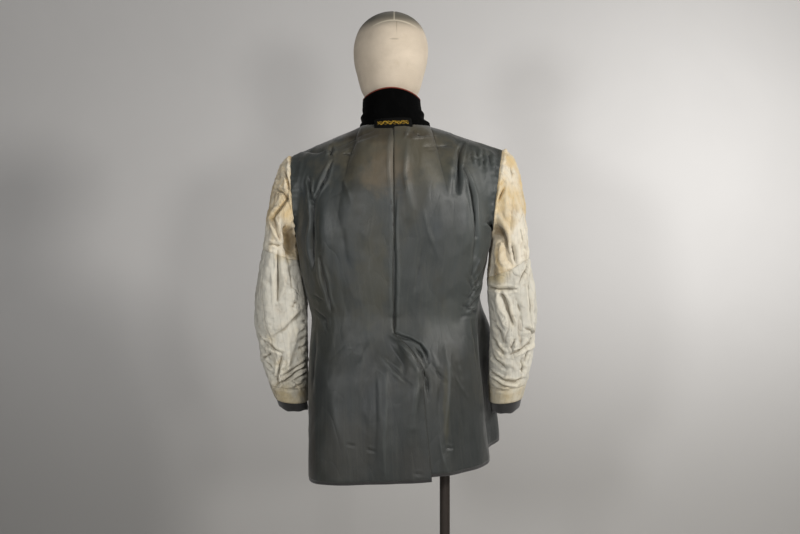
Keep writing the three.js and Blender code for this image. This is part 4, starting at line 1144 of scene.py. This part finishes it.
def satin_lining():
    r = Finish("satin_lining")
    place, cloth = r.place, r.on_cloth()
    grey = r.use(MOTTLE, r.stretched(place, (1, 1, 0.45)), 11.0, 0.38, 0.66)
    brown = r.use(MOTTLE, r.stretched(place, (1, 1, 0.5)), 7.0, 0.45, 0.7)
    blue = r.use(MOTTLE, r.stretched(place, (1, 1, 0.4), (0, 0, 1.2)), 9.0, 0.5, 0.72)
    colour = r.blend(grey, tone(51, 55, 54), tone(58, 62, 60))
    colour = r.blend(brown, colour, tone(60, 59, 50))
    colour = r.blend(r.times(blue, 0.8), colour, tone(50, 57, 61))
    # Stains, and the painted highlights at the end of the list.
    for centre, wide, tall, strength, stain_and_highlight in SATIN_STAINS_AND_HIGHLIGHTS:
        mask = r.times(r.use(PATCH, place, centre, (wide, THROUGH, tall), 1.1), strength)
        colour = r.blend(mask, colour, stain_and_highlight)
    # Painted shade: the lining darkens towards the hem.
    colour = r.blend(r.ramp(r.axes(place)[2], 1.16, 0.94, 0.0, 0.65), colour, tone(41, 44, 43))
    streaks = r.ramp(r.noise(r.stretched(cloth, (160, 5, 1)), 1.0, 3.0), 0.45, 0.75, 0.0, 0.14)
    colour = r.blend(streaks, colour, tone(86, 86, 76))
    for centre, size in SATIN_HOLES:
        colour = r.blend(r.use(PATCH, place, centre, size, 2.4), colour, tone(22, 21, 20))
    worn = r.times(r.ramp(r.kept("from_edge"), 0.0035, 0.0008, 0.0, 0.2), r.noise(place, 240.0))
    colour = r.blend(worn, colour, tone(96, 93, 80))
    # Painted shade in the creases and painted highlight on the ridges.
    colour = r.crease_shade_and_ridge_highlight(colour, tone(30, 33, 33), tone(90, 95, 93), 1.6, 1.6, 0.44)
    long = r.use(CREASES, r.stretched(place, (1, 1, 0.3), (0, 0.12, 0)), 11.0, 0.05)
    slant = r.use(CREASES, r.stretched(place, (1, 1, 0.45), (0, -0.5, 0)), 17.0, 0.06)
    fine = r.times(r.noise(r.stretched(place, (1, 1, 0.4)), 90.0, 4.0, 0.6), 0.35)
    height = r.times_plus(r.use(THREADS, cloth, 0.00042, 0.6), 0.04, fine)
    height = r.times_plus(slant, 0.35, r.times_plus(long, 0.6, height))
    return r.made(colour, r.ramp(r.noise(place, 24.0, 3.0), 0.3, 0.7, 0.42, 0.54), height, 0.5, 0.0022,
                  Sheen_Weight=0.2, Sheen_Roughness=0.45, Specular_IOR_Level=0.46)


def wool():
    r = Finish("wool")
    fuzz = r.noise(r.place, 900.0, 4.0, 0.7)
    colour = r.mottled(60.0, 0.35, 0.7, tone(26, 25, 25), tone(37, 35, 34))
    colour = r.blend(r.ramp(fuzz, 0.45, 0.75, 0.0, 0.35), colour, tone(64, 62, 58))
    height = r.times_plus(r.noise(r.place, 320.0, 3.0), 0.6, fuzz)
    return r.made(colour, r.ramp(fuzz, 0.3, 0.7, 0.86, 1.0), height, 0.5, 0.0007, Sheen_Weight=0.3,
                  Sheen_Roughness=0.6)


def cotton(name, clean, yellowed, share, whiter=(), yellower=(), armpit_shade=()):
    """The sleeves' lining. Clean and yellowed are its colours and share says how much of it is yellowed. Whiter,
    yellower and armpit shade are places of patches, as centre and size: the armpit shade patches are painted shade
    in the hollows at the armpits."""
    r = Finish(name)
    place, cloth = r.place, r.on_cloth()
    yellow = r.use(MOTTLE, r.stretched(place, (1, 1, 0.6)), 17.0, 0.62 - share * 0.5, 0.95 - share * 0.5)
    low_band = r.times(r.ramp(r.axes(place)[2], 0.968, 0.925), r.ramp(r.noise(place, 34.0, 4.0), 0.3, 0.7, 0.3, 1.0))
    if whiter:
        masks = [r.use(PATCH, place, centre, size, 0.7) for centre, size in whiter]
        yellow = r.minus(yellow, r.most(*masks), clamp=True)
    for centre, size in yellower:
        yellow = r.most(yellow, r.use(PATCH, place, centre, size, 0.9))
    colour = r.blend(yellow, clean, yellowed)
    colour = r.blend(low_band, colour, tone(200, 184, 148))
    seams = r.times(r.ramp(r.kept("from_edge"), 0.006, 0.0), r.noise(place, 90.0, 3.0))
    colour = r.blend(r.times(seams, 0.2), colour, tone(150, 130, 96))
    sharp = r.use(CREASES, r.stretched(place, (1, 1, 0.6), (0, 0.5, 0)), 19.0, 0.05)
    small = r.use(CREASES, r.stretched(place, (1, 1, 0.8), (0, -0.6, 0)), 42.0, 0.06)
    crushed = r.ramp(r.noise(place, 13.0), 0.48, 0.68)
    # Brown in the troughs of the fine creases, more on the stained cloth: partly stain, partly painted shade.
    rubbed = r.times(r.ramp(sharp, 0.4, 0.0), r.times(crushed, 0.1 + 0.7 * share))
    colour = r.blend(rubbed, colour, tone(164, 128, 76))
    stripe = r.absolute(r.sine(r.times(r.axes(cloth)[0], math.pi / 0.014)))
    colour = r.blend(r.ramp(stripe, 0.965, 1.0, 0.0, 0.16), colour, tone(128, 126, 116))
    # Painted shade: brown patches darken the hollows at the armpits.
    for centre, size in armpit_shade:
        colour = r.blend(r.times(r.use(PATCH, place, centre, size, 0.6), 0.75), colour, tone(104, 84, 54))
    dirt = r.ramp(r.noise(place, 55.0, 5.0, 0.7), 0.5, 0.78, 0.0, 0.35)
    colour = r.blend(dirt, colour, tone(170, 150, 116))
    # Painted shade in the creases and painted highlight on the ridges.
    colour = r.crease_shade_and_ridge_highlight(colour, tone(122, 106, 76), tone(242, 233, 211), 2.6, 2.2, 0.55)
    fine = r.times(r.noise(place, 110.0, 4.0, 0.6), 0.35)
    height = r.times_plus(r.use(THREADS, cloth, 0.0005, 0.35), 0.05, fine)
    folded = r.times(r.times_plus(small, 0.5, sharp), r.times_plus(crushed, 0.85, 0.15))
    return r.made(colour, r.ramp(r.noise(place, 40.0), 0.3, 0.7, 0.72, 0.86), r.plus(folded, height), 0.95, 0.005,
                  Sheen_Weight=0.12, Specular_IOR_Level=0.3)


def velvet():
    r = Finish("velvet")
    nap = r.noise(r.stretched(r.place, (1, 1, 0.5)), 700.0, 4.0, 0.7)
    return r.made(r.mottled(45.0, 0.4, 0.7, tone(3, 3, 3), tone(7, 7, 7)), r.ramp(nap, 0.3, 0.7, 0.9, 1.0), nap, 0.6,
                  0.0006, Specular_IOR_Level=0.05, Sheen_Weight=0.03, Sheen_Roughness=0.35)


def piping():
    r = Finish("piping")
    across, deep, up = r.axes(r.place)
    around = r.math("ARCTAN2", across, deep)
    twist = r.sine(r.times_plus(around, 180.0, r.times(up, 2600.0)))
    colour = r.blend(r.ramp(twist, -1.0, 1.0), tone(104, 36, 24), tone(146, 62, 42))
    return r.made(colour, r.ramp(r.noise(r.place, 300.0), 0.3, 0.7, 0.75, 0.92),
                  r.times_plus(twist, 0.5, r.noise(r.place, 900.0)), 0.6, 0.0004)


def woven_label():
    """Black ground with a gold scroll, as generic as ribbon trim."""
    r = Finish("label")
    cloth = r.on_cloth()
    across, up, _ = r.axes(cloth)

    def scroll(length, height, level, shift, half_width):
        swing = r.sine(r.times_plus(across, math.tau / length, shift))
        away = r.minus(up, r.times_plus(swing, height, level))
        return r.line(away, half_width * 1.25, half_width * 0.75)

    gold = scroll(0.0186, 0.0034, 0.0118, 0.4, 0.0013)
    gold = r.most(gold, scroll(0.0093, 0.0024, 0.0134, 1.2, 0.0007))
    gold = r.most(gold, scroll(0.0186, 0.0034, 0.0112, 3.5, 0.0005))
    gold = r.times(gold, r.line(across, 0.034, 0.031))
    gold = r.times(gold, r.ramp(r.noise(cloth, 420.0, 3.0), 0.36, 0.5))
    thread = r.use(THREADS, cloth, 0.0004, 0.0)
    shine = r.blend(thread, tone(138, 106, 32), tone(198, 160, 62))
    return r.made(r.blend(gold, tone(9, 9, 8), shine), r.ramp(gold, 0.0, 1.0, 0.7, 0.45),
                  r.times_plus(gold, 0.6, thread), 0.5, 0.0004, Specular_IOR_Level=0.15)


def shaded_crown_and_seams(r, colour):
    """The head's crown, darkened upwards by painted shade, with a curved seam, a middle seam and a few stitches."""
    across, deep, up = r.axes(r.place)
    back = r.ramp(deep, 0.075, 0.045)
    # Painted shade: the crown darkens upwards.
    colour = r.blend(r.times(r.times(r.ramp(up, 1.69, 1.726), 0.97), back), colour, tone(100, 96, 82))
    off = r.plus(across, 0.012)
    arc = r.times_plus(r.times(off, off), -5.0, 1.712)
    seam = r.times(r.line(r.minus(up, arc), 0.0022, 0.0008), r.line(off, 0.055, 0.04))
    middle = r.times(r.line(off, 0.0022, 0.0008), r.ramp(up, 1.709, 1.713))
    light = r.times(r.most(seam, middle), back)
    colour = r.blend(r.times(light, 0.6), colour, tone(222, 212, 190))
    below = r.times(r.ramp(up, 1.675, 1.70), r.ramp(up, 1.711, 1.708))
    stitches = r.times(r.line(r.plus(across, 0.007), 0.0016, 0.0005), below)
    mark = r.use(PATCH, r.place, (-0.012, -0.1, 1.6695), (0.012, 0.1, 0.0022), 1.2)
    return r.blend(r.times(r.times(r.most(stitches, mark), back), 0.35), colour, tone(120, 104, 80))


def linen(name, crown=False):
    """The form's cover."""
    r = Finish(name)
    across, deep, up = r.axes(r.place)
    around = r.node("ShaderNodeCombineXYZ", {0: r.times(r.math("ARCTAN2", across, deep), 0.08), 1: up}).outputs[0]
    weave = r.use(THREADS, around, 0.0008, 0.0)
    slub = r.noise(r.stretched(around, (30, 900, 1)), 1.0, 3.0)
    colour = r.mottled(14.0, 0.35, 0.7, tone(214, 199, 178), tone(226, 211, 190))
    colour = r.blend(r.ramp(slub, 0.55, 0.8, 0.0, 0.25), colour, tone(190, 174, 146))
    colour = r.blend(r.ramp(r.noise(r.place, 46.0, 5.0, 0.7), 0.56, 0.8, 0.0, 0.3), colour, tone(192, 172, 140))
    # The head gets the crown's painted shade and its seams.
    if crown:
        colour = shaded_crown_and_seams(r, colour)
    return r.made(colour, r.ramp(weave, 0.0, 1.0, 0.95, 0.82), r.times_plus(slub, 0.4, weave), 0.35, 0.0005,
                  Sheen_Weight=0.1)


def wood():
    r = Finish("wood")
    rings = r.noise(r.stretched(r.place, (4, 60, 60)), 1.0, 5.0, 0.65, 0.6)
    return r.made(r.blend(r.ramp(rings, 0.35, 0.7), tone(104, 76, 48), tone(150, 116, 78)),
                  r.ramp(rings, 0.3, 0.7, 0.5, 0.66), rings, 0.25, 0.0006)


def painted_steel():
    r = Finish("steel")
    spray = r.noise(r.place, 700.0, 3.0)
    rubbed = r.use(MOTTLE, r.stretched(r.place, (1, 1, 0.2)), 30.0, 0.5, 0.75)
    return r.made(r.blend(r.times(rubbed, 0.5), tone(56, 49, 44), tone(84, 76, 68)),
                  r.ramp(spray, 0.3, 0.7, 0.38, 0.52), spray, 0.15, 0.0003, Metallic=0.35)


def backdrop_paper():
    """Pale paper, seen from the front only, so that it hides nothing from behind."""
    r = Finish("backdrop_paper")
    paper = r.mottled(1.2, 0.3, 0.7, tone(222, 220, 218), tone(227, 225, 223))
    # Painted shade: the paper darkens towards the floor.
    paper = r.blend(r.ramp(r.axes(r.place)[2], 1.25, 0.3), paper, tone(197, 195, 192))
    material = r.made(paper, 0.9, Specular_IOR_Level=0.15)
    behind = r.node("ShaderNodeNewGeometry").outputs["Backfacing"]
    clear = r.node("ShaderNodeBsdfTransparent").outputs[0]
    both = r.node("ShaderNodeMixShader", {0: behind, 1: r.shader.outputs[0], 2: clear})
    r.feed(material.node_tree.nodes["Material Output"].inputs["Surface"], both.outputs[0])
    return material


SATIN = satin_lining()
WOOL = wool()
COTTON = cotton("cotton", tone(221, 217, 204), tone(210, 194, 156), 0.14,
                yellower=[((0.205, -0.03, 1.19), (0.04, 0.1, 0.05)), ((-0.245, -0.03, 1.235), (0.03, 0.1, 0.035))])
# Its armpit patches are painted shade in the hollows there.
STAINED = cotton("stained_cotton", tone(241, 233, 215), tone(226, 200, 151), 0.6,
                 whiter=[((0.268, -0.03, 1.24), (0.055, 0.13, 0.085)), ((-0.292, 0.0, 1.262), (0.03, 0.12, 0.045))],
                 armpit_shade=[((-0.235, -0.03, 1.257), (0.014, 0.07, 0.042)), ((0.208, -0.03, 1.268), (0.02, 0.07, 0.026))])
VELVET = velvet()
PIPING = piping()
LABEL_CLOTH = woven_label()
LINEN = linen("linen")
HEAD_LINEN = linen("head_linen", crown=True)
WOOD = wood()
STEEL = painted_steel()


# ---- the jacket ----
def declare(made, node):
    """Puts a sheet on the stand's one body in its node's place, and hides the node's own solid. Its cut and area are
    not used.
    """
    piece, cut, area = made
    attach(piece, "root")
    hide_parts(node)


def body_panel(part, side):
    """One lining panel and the turned wool edge under it."""
    gap = SEAM_GAP / 2 / (BACK_PANEL_WIDTH if part == "back" else FRONT_WIDTH)
    overlaps = side == "left" and part == "back"
    columns, rows = (120, 320) if part == "back" else (68, 250)

    def sheet(node, low, high, rows, face, slot, inset=0.0, **given):
        def surface(u, v):
            level = mix(low(0.5), high(0.5), v)
            reach = vent_reach(mix(HEM_Z, ARMPIT_Z, level)) if overlaps else 0.0
            s = mix(gap - reach, 1 - gap, u)
            form, outward, lift = body_cloth(side, part, s, mix(low(s), high(s), v))
            return form, outward, lift - inset

        declare(cloth_sheet(f"{node}_cloth", surface, columns, rows, face, WOOL, **given), node)

    def hem(s):
        return 0.0 * s

    def foot(s):
        return lining_foot(side, part, s)

    def under_lining(s):
        return foot(s) + HEM_EDGE_TUCK / (ARMPIT_Z - HEM_Z)

    def shoulder(s):
        return 2 - (SEAM_GAP / 2 + 0.7 * s**4) / SHOULDER_RUN

    sheet(f"{part}_{side}", foot, shoulder, rows, SATIN, "satin_lining")
    sheet(f"hem_{part}_{side}", hem, under_lining, 8, WOOL, "wool", inset=0.5, wall=1.6, rolls=(0.6, 0.6, 0.5, 0))


def sleeve(side):
    """The five pieces of a sleeve, each between two lines along it and two lines round it. The worn wool edge
    doesn't end level."""
    cuff_z = SLEEVES[side]["rings"][0]["z"]

    def sheet(name, start, end, low, high, columns, rows, face, slot, inset=0.0, rolls=(1.1,) * 4, ring=False):
        def surface(u, v):
            level = mix(cuff_z, SLEEVES[side]["seam_z"], mix(low(90.0), high(90.0), v))
            turn = mix(start(level), end(level), u)
            return sleeve_cloth(side, turn, mix(low(turn), high(turn), v), inset)

        node = f"sleeve_{side}_{name}"
        made = cloth_sheet(f"{node}_cloth", surface, columns, rows, face, WOOL, ring=ring, rolls=rolls)
        declare(made, node)

    def steady(value):
        return lambda at: value + 0 * at

    def along_at(z):
        return lambda turn: (z - cuff_z) / (head_seam(side, turn) - cuff_z)

    def wavy_foot(turn):
        t = np.radians(turn)
        rise = 2.2 + 1.5 * np.sin(3 * t + 0.6) + 0.9 * np.sin(7 * t + 2)
        return rise / (head_seam(side, turn) - cuff_z)

    def hind(level):
        return read(HIND_SEAM, "z", side, level)

    def next_hind(level):
        return hind(level) + 360

    zero, fore, whole, one, two = (steady(value) for value in (0.0, FORE_SEAM, 360.0, 1.0, 2.0))
    band_low, band_top, edge_top = (along_at(z) for z in (CUFF_BAND_LOW_Z, CUFF_BAND_TOP_Z, CUFF_EDGE_TOP_Z))
    sheet("head", zero, whole, one, two, 150, 110, STAINED, "stained_cotton", ring=True)
    sheet("under", hind, fore, band_top, one, 84, 150, COTTON, "cotton")
    sheet("upper", fore, next_hind, band_top, one, 90, 150, COTTON, "cotton")
    sheet("cuff", zero, whole, band_low, band_top, 120, 16, COTTON, "cotton", ring=True)
    sheet("edge", zero, whole, wavy_foot, edge_top, 120, 14, WOOL, "wool", CUFF_EDGE_INSET, (0, 0, 0.5, 0), ring=True)


for part, side in HEM_RISES:
    body_panel(part, side)
for side in SLEEVES:
    sleeve(side)


# ---- collar, piping, label ----
def collar_surface(u, v):
    turn = mix(-COLLAR["end_turn"], COLLAR["end_turn"], u)
    form = collar_form(turn, v)
    lift = rumple(form, (40, 16), (0.8, 0.35), 21)
    waves_up = 2.8 * np.sin(15 * v + 0.6) * hump(turn - 86, 30)
    waves_up += 2.0 * np.sin(17 * v + 2.2) * hump(turn + 84, 30)
    lift += waves_up * ease((0.75 - v) / 0.4)
    return form, normal_of(collar_form, turn, v), lift * ease(v / 0.1) * ease((1 - v) / 0.08)


def label_surface(u, v):
    form = label_form(u, v)
    form = form - vectors(0 * u, 0 * u, 3.2 * (1 - u) ** 1.5 - 1.0 * np.sin(np.pi * u))
    lift = rumple(form, (18,), (0.5,), 23) + 0.5 * np.sin(np.pi * v)
    return form, normal_of(label_form, u, v), lift


def piping_cord():
    """A cord of round thread along the collar's top edge."""
    mesh = bmesh.new()
    count = 181
    turns = np.linspace(-COLLAR["end_turn"], COLLAR["end_turn"], count)
    path = collar_form(turns, np.ones(count)) + np.array([0, 0, PIPING_RADIUS + SEAM_GAP])
    rings = []
    for i, place in enumerate(path):
        way = unit(path[min(i + 1, count - 1)] - path[max(i - 1, 0)])
        out = unit(np.cross(way, [0, 0, 1.0]))
        up = np.cross(out, way)
        ends = i in (0, count - 1)
        made = bmesh.ops.create_circle(mesh, segments=10, radius=PIPING_RADIUS, cap_ends=ends)["verts"]
        for vert in made:
            vert.co = Vector(place + out * vert.co.x + up * vert.co.y)
        rings.append(set(made))
    edges = [[edge for edge in mesh.edges if edge.verts[0] in ring and edge.verts[1] in ring] for ring in rings]
    for low, high in zip(edges[:-1], edges[1:]):
        bmesh.ops.bridge_loops(mesh, edges=low + high)
    bmesh.ops.recalc_face_normals(mesh, faces=mesh.faces)
    return finished("collar_piping_cord", mesh, [PIPING])


declare(cloth_sheet("collar_cloth", collar_surface, 150, 34, VELVET, VELVET, COLLAR["wall"], rolls=(0.8, 0.8, 0, 0.5)),
        "collar")
cord = piping_cord()
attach(cord, "root")
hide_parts("collar_piping")
declare(cloth_sheet("label_cloth", label_surface, 60, 20, LABEL_CLOTH, LABEL_CLOTH, LABEL["thickness"],
                    rolls=(0.2,) * 4), "label")


# ---- dress form ----
NECK_SECTIONS = table(
    "z x across back front",
    (1512, -20, 46, 42, 42),
    (1530, -20, 46, 42, 42),
    (1547, -20, 45, 41, 41),
)
HEAD_SEAMS = [
    pinch(1.6, -1.1, (-12, 1749), (-12, 1730), (-13, 1712)),
    pinch(1.6, -1.1, (-60, 1694), (-36, 1708), (-12, 1712), (16, 1706), (46, 1688)),
]


def form_ring(rows, name, seam_turns):
    """A padded ring of the form through the rows of a table, closed at both ends, with its linen's seams."""
    mesh = bmesh.new()
    verts, u, v = grid_places(mesh, 120, 80)
    turn = u * 360
    z = mix(rows[0]["z"], rows[-1]["z"], v)
    s, c = sine_cosine(turn)
    reach = (np.abs(s) ** FORM_POWER + np.abs(c) ** FORM_POWER) ** (-1 / FORM_POWER)
    groove = sum(hump((turn - at + 180) % 360 - 180, 0.8) for at in seam_turns)
    reach = reach * (1 - 0.008 * groove)
    x = read(rows, "z", "x", z) + read(rows, "z", "across", z) * reach * s
    y = FORM_CENTRE_Y - np.where(c > 0, read(rows, "z", "back", z), read(rows, "z", "front", z)) * reach * c
    for i, vert in enumerate(verts):
        vert.co = (x[i], y[i], z[i])
    bmesh.ops.remove_doubles(mesh, verts=mesh.verts, dist=1e-3)
    bmesh.ops.holes_fill(mesh, edges=[edge for edge in mesh.edges if edge.is_boundary], sides=0)
    bmesh.ops.recalc_face_normals(mesh, faces=mesh.faces)
    return finished(name, mesh, [LINEN])


def form_head():
    mesh = bmesh.new()
    bmesh.ops.create_uvsphere(mesh, u_segments=160, v_segments=120, radius=1)
    rows = [dict(row, polar=math.acos(1 - 2 * row["share"])) for row in HEAD_SECTIONS]
    verts = list(mesh.verts)
    ball = np.array([vert.co[:] for vert in verts])
    polar = np.arccos(np.clip(ball[:, 2], -1, 1))
    share = (1 - np.cos(polar)) / 2
    turn = np.arctan2(ball[:, 0], -ball[:, 1])
    closing = np.sqrt(np.clip((1 - share) / 0.02, 0, 1))
    x = read(rows, "polar", "across", polar) * closing * np.sin(turn)
    y = -read(rows, "polar", "deep", polar) * closing * np.cos(turn) + HEAD["chin"] * share**2
    s, c = math.sin(math.radians(HEAD["yaw"])), math.cos(math.radians(HEAD["yaw"]))
    points = vectors(HEAD["x"] + x * c - y * s, HEAD["y"] + x * s + y * c,
                     mix(HEAD["top_z"], HEAD["bottom_z"], share))
    outward = unit(points - np.array([HEAD["x"], HEAD["y"], (HEAD["top_z"] + HEAD["bottom_z"]) / 2]))
    lift = crease_lift(HEAD_SEAMS, points[:, 0], points[:, 2]) * (points[:, 1] < HEAD["y"])
    lift += rumple(points, (60,), (0.5,), 31)
    points = points + outward * column(np.minimum(lift, 0.3))
    for i, vert in enumerate(verts):
        vert.co = points[i]
    bmesh.ops.recalc_face_normals(mesh, faces=mesh.faces)
    return finished("form_head_linen", mesh, [HEAD_LINEN])


torso = form_ring(FORM_SECTIONS, "form_torso_linen", (0, 62, 298, 140, 220, 180))
neck_piece = form_ring(NECK_SECTIONS, "form_neck_linen", ())
head = form_head()
for piece, node in ((torso, "form_torso"), (neck_piece, "form_neck"), (head, "form_head")):
    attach(piece, "root")
    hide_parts(node)

# ---- stand: the solids' own shapes, with their finishes ----
for node, material in (("form_underplate", WOOD), ("pole", STEEL), ("socket", STEEL), ("base", STEEL)):
    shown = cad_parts[node]
    shown.data.materials.clear()
    shown.data.materials.append(material)


# ---- floor, light and camera ----
def backdrop():
    """A pale floor that curves up into a wall behind the object."""
    mesh = bmesh.new()
    front, wall, top, half_width, cove = -3600, 1100, 3600, 3800, 160
    bends = np.linspace(0, math.pi / 2, 13)
    curve = [(wall - cove + cove * math.sin(a), cove - cove * math.cos(a)) for a in bends]
    line = [(front, 0), *curve, (wall, top)]
    verts = [mesh.verts.new((-half_width, y, z)) for y, z in line]
    edges = [mesh.edges.new(pair) for pair in zip(verts[:-1], verts[1:])]
    pulled = bmesh.ops.extrude_edge_only(mesh, edges=edges)["geom"]
    moved = [part for part in pulled if isinstance(part, bmesh.types.BMVert)]
    bmesh.ops.translate(mesh, vec=(2 * half_width, 0, 0), verts=moved)
    mesh.normal_update()
    if min(mesh.faces, key=lambda face: face.calc_center_median().z).normal.z < 0:
        bmesh.ops.reverse_faces(mesh, faces=mesh.faces)
    return finished("backdrop", mesh, [backdrop_paper()])


backdrop()


def soft_light(name, place, aim, size, power, colour=(1, 1, 1)):
    light = bpy.data.lights.new(name, "AREA")
    light.shape = "DISK"
    light.size = size
    light.energy = power
    light.color = colour
    lamp = bpy.data.objects.new(name, light)
    lamp.visible_camera = False
    lamp.location = place
    lamp.rotation_euler = (Vector(aim) - Vector(place)).to_track_quat("-Z", "Y").to_euler()
    bpy.context.scene.collection.objects.link(lamp)


CHEST = (0, 0, 1.3)
soft_light("key", (1.75, -1.5, 1.95), CHEST, 0.36, 31, (1.0, 0.972, 0.935))
soft_light("front_right", (0.75, -2.3, 1.3), CHEST, 0.3, 11.5, (1.0, 0.985, 0.96))
soft_light("front_left", (-0.95, -2.15, 1.4), CHEST, 0.3, 16)
soft_light("wall_light", (1.15, 0.2, 1.5), (0.65, 1.1, 1.35), 1.0, 5)
world = bpy.data.worlds.new("studio")
world.use_nodes = True
world.node_tree.nodes["Background"].inputs["Color"].default_value = (0.8, 0.82, 0.85, 1)
world.node_tree.nodes["Background"].inputs["Strength"].default_value = 0.07
bpy.context.scene.world = world

lens = bpy.data.cameras.new("camera")
lens.sensor_width = 36
lens.lens = 40.1
camera = bpy.data.objects.new("camera", lens)
camera.location = (0, -1.930, 1.199)
camera.rotation_euler = (math.pi / 2, 0, 0)
bpy.context.scene.collection.objects.link(camera)
bpy.context.scene.camera = camera
bpy.context.scene.view_settings.view_transform = "Standard"
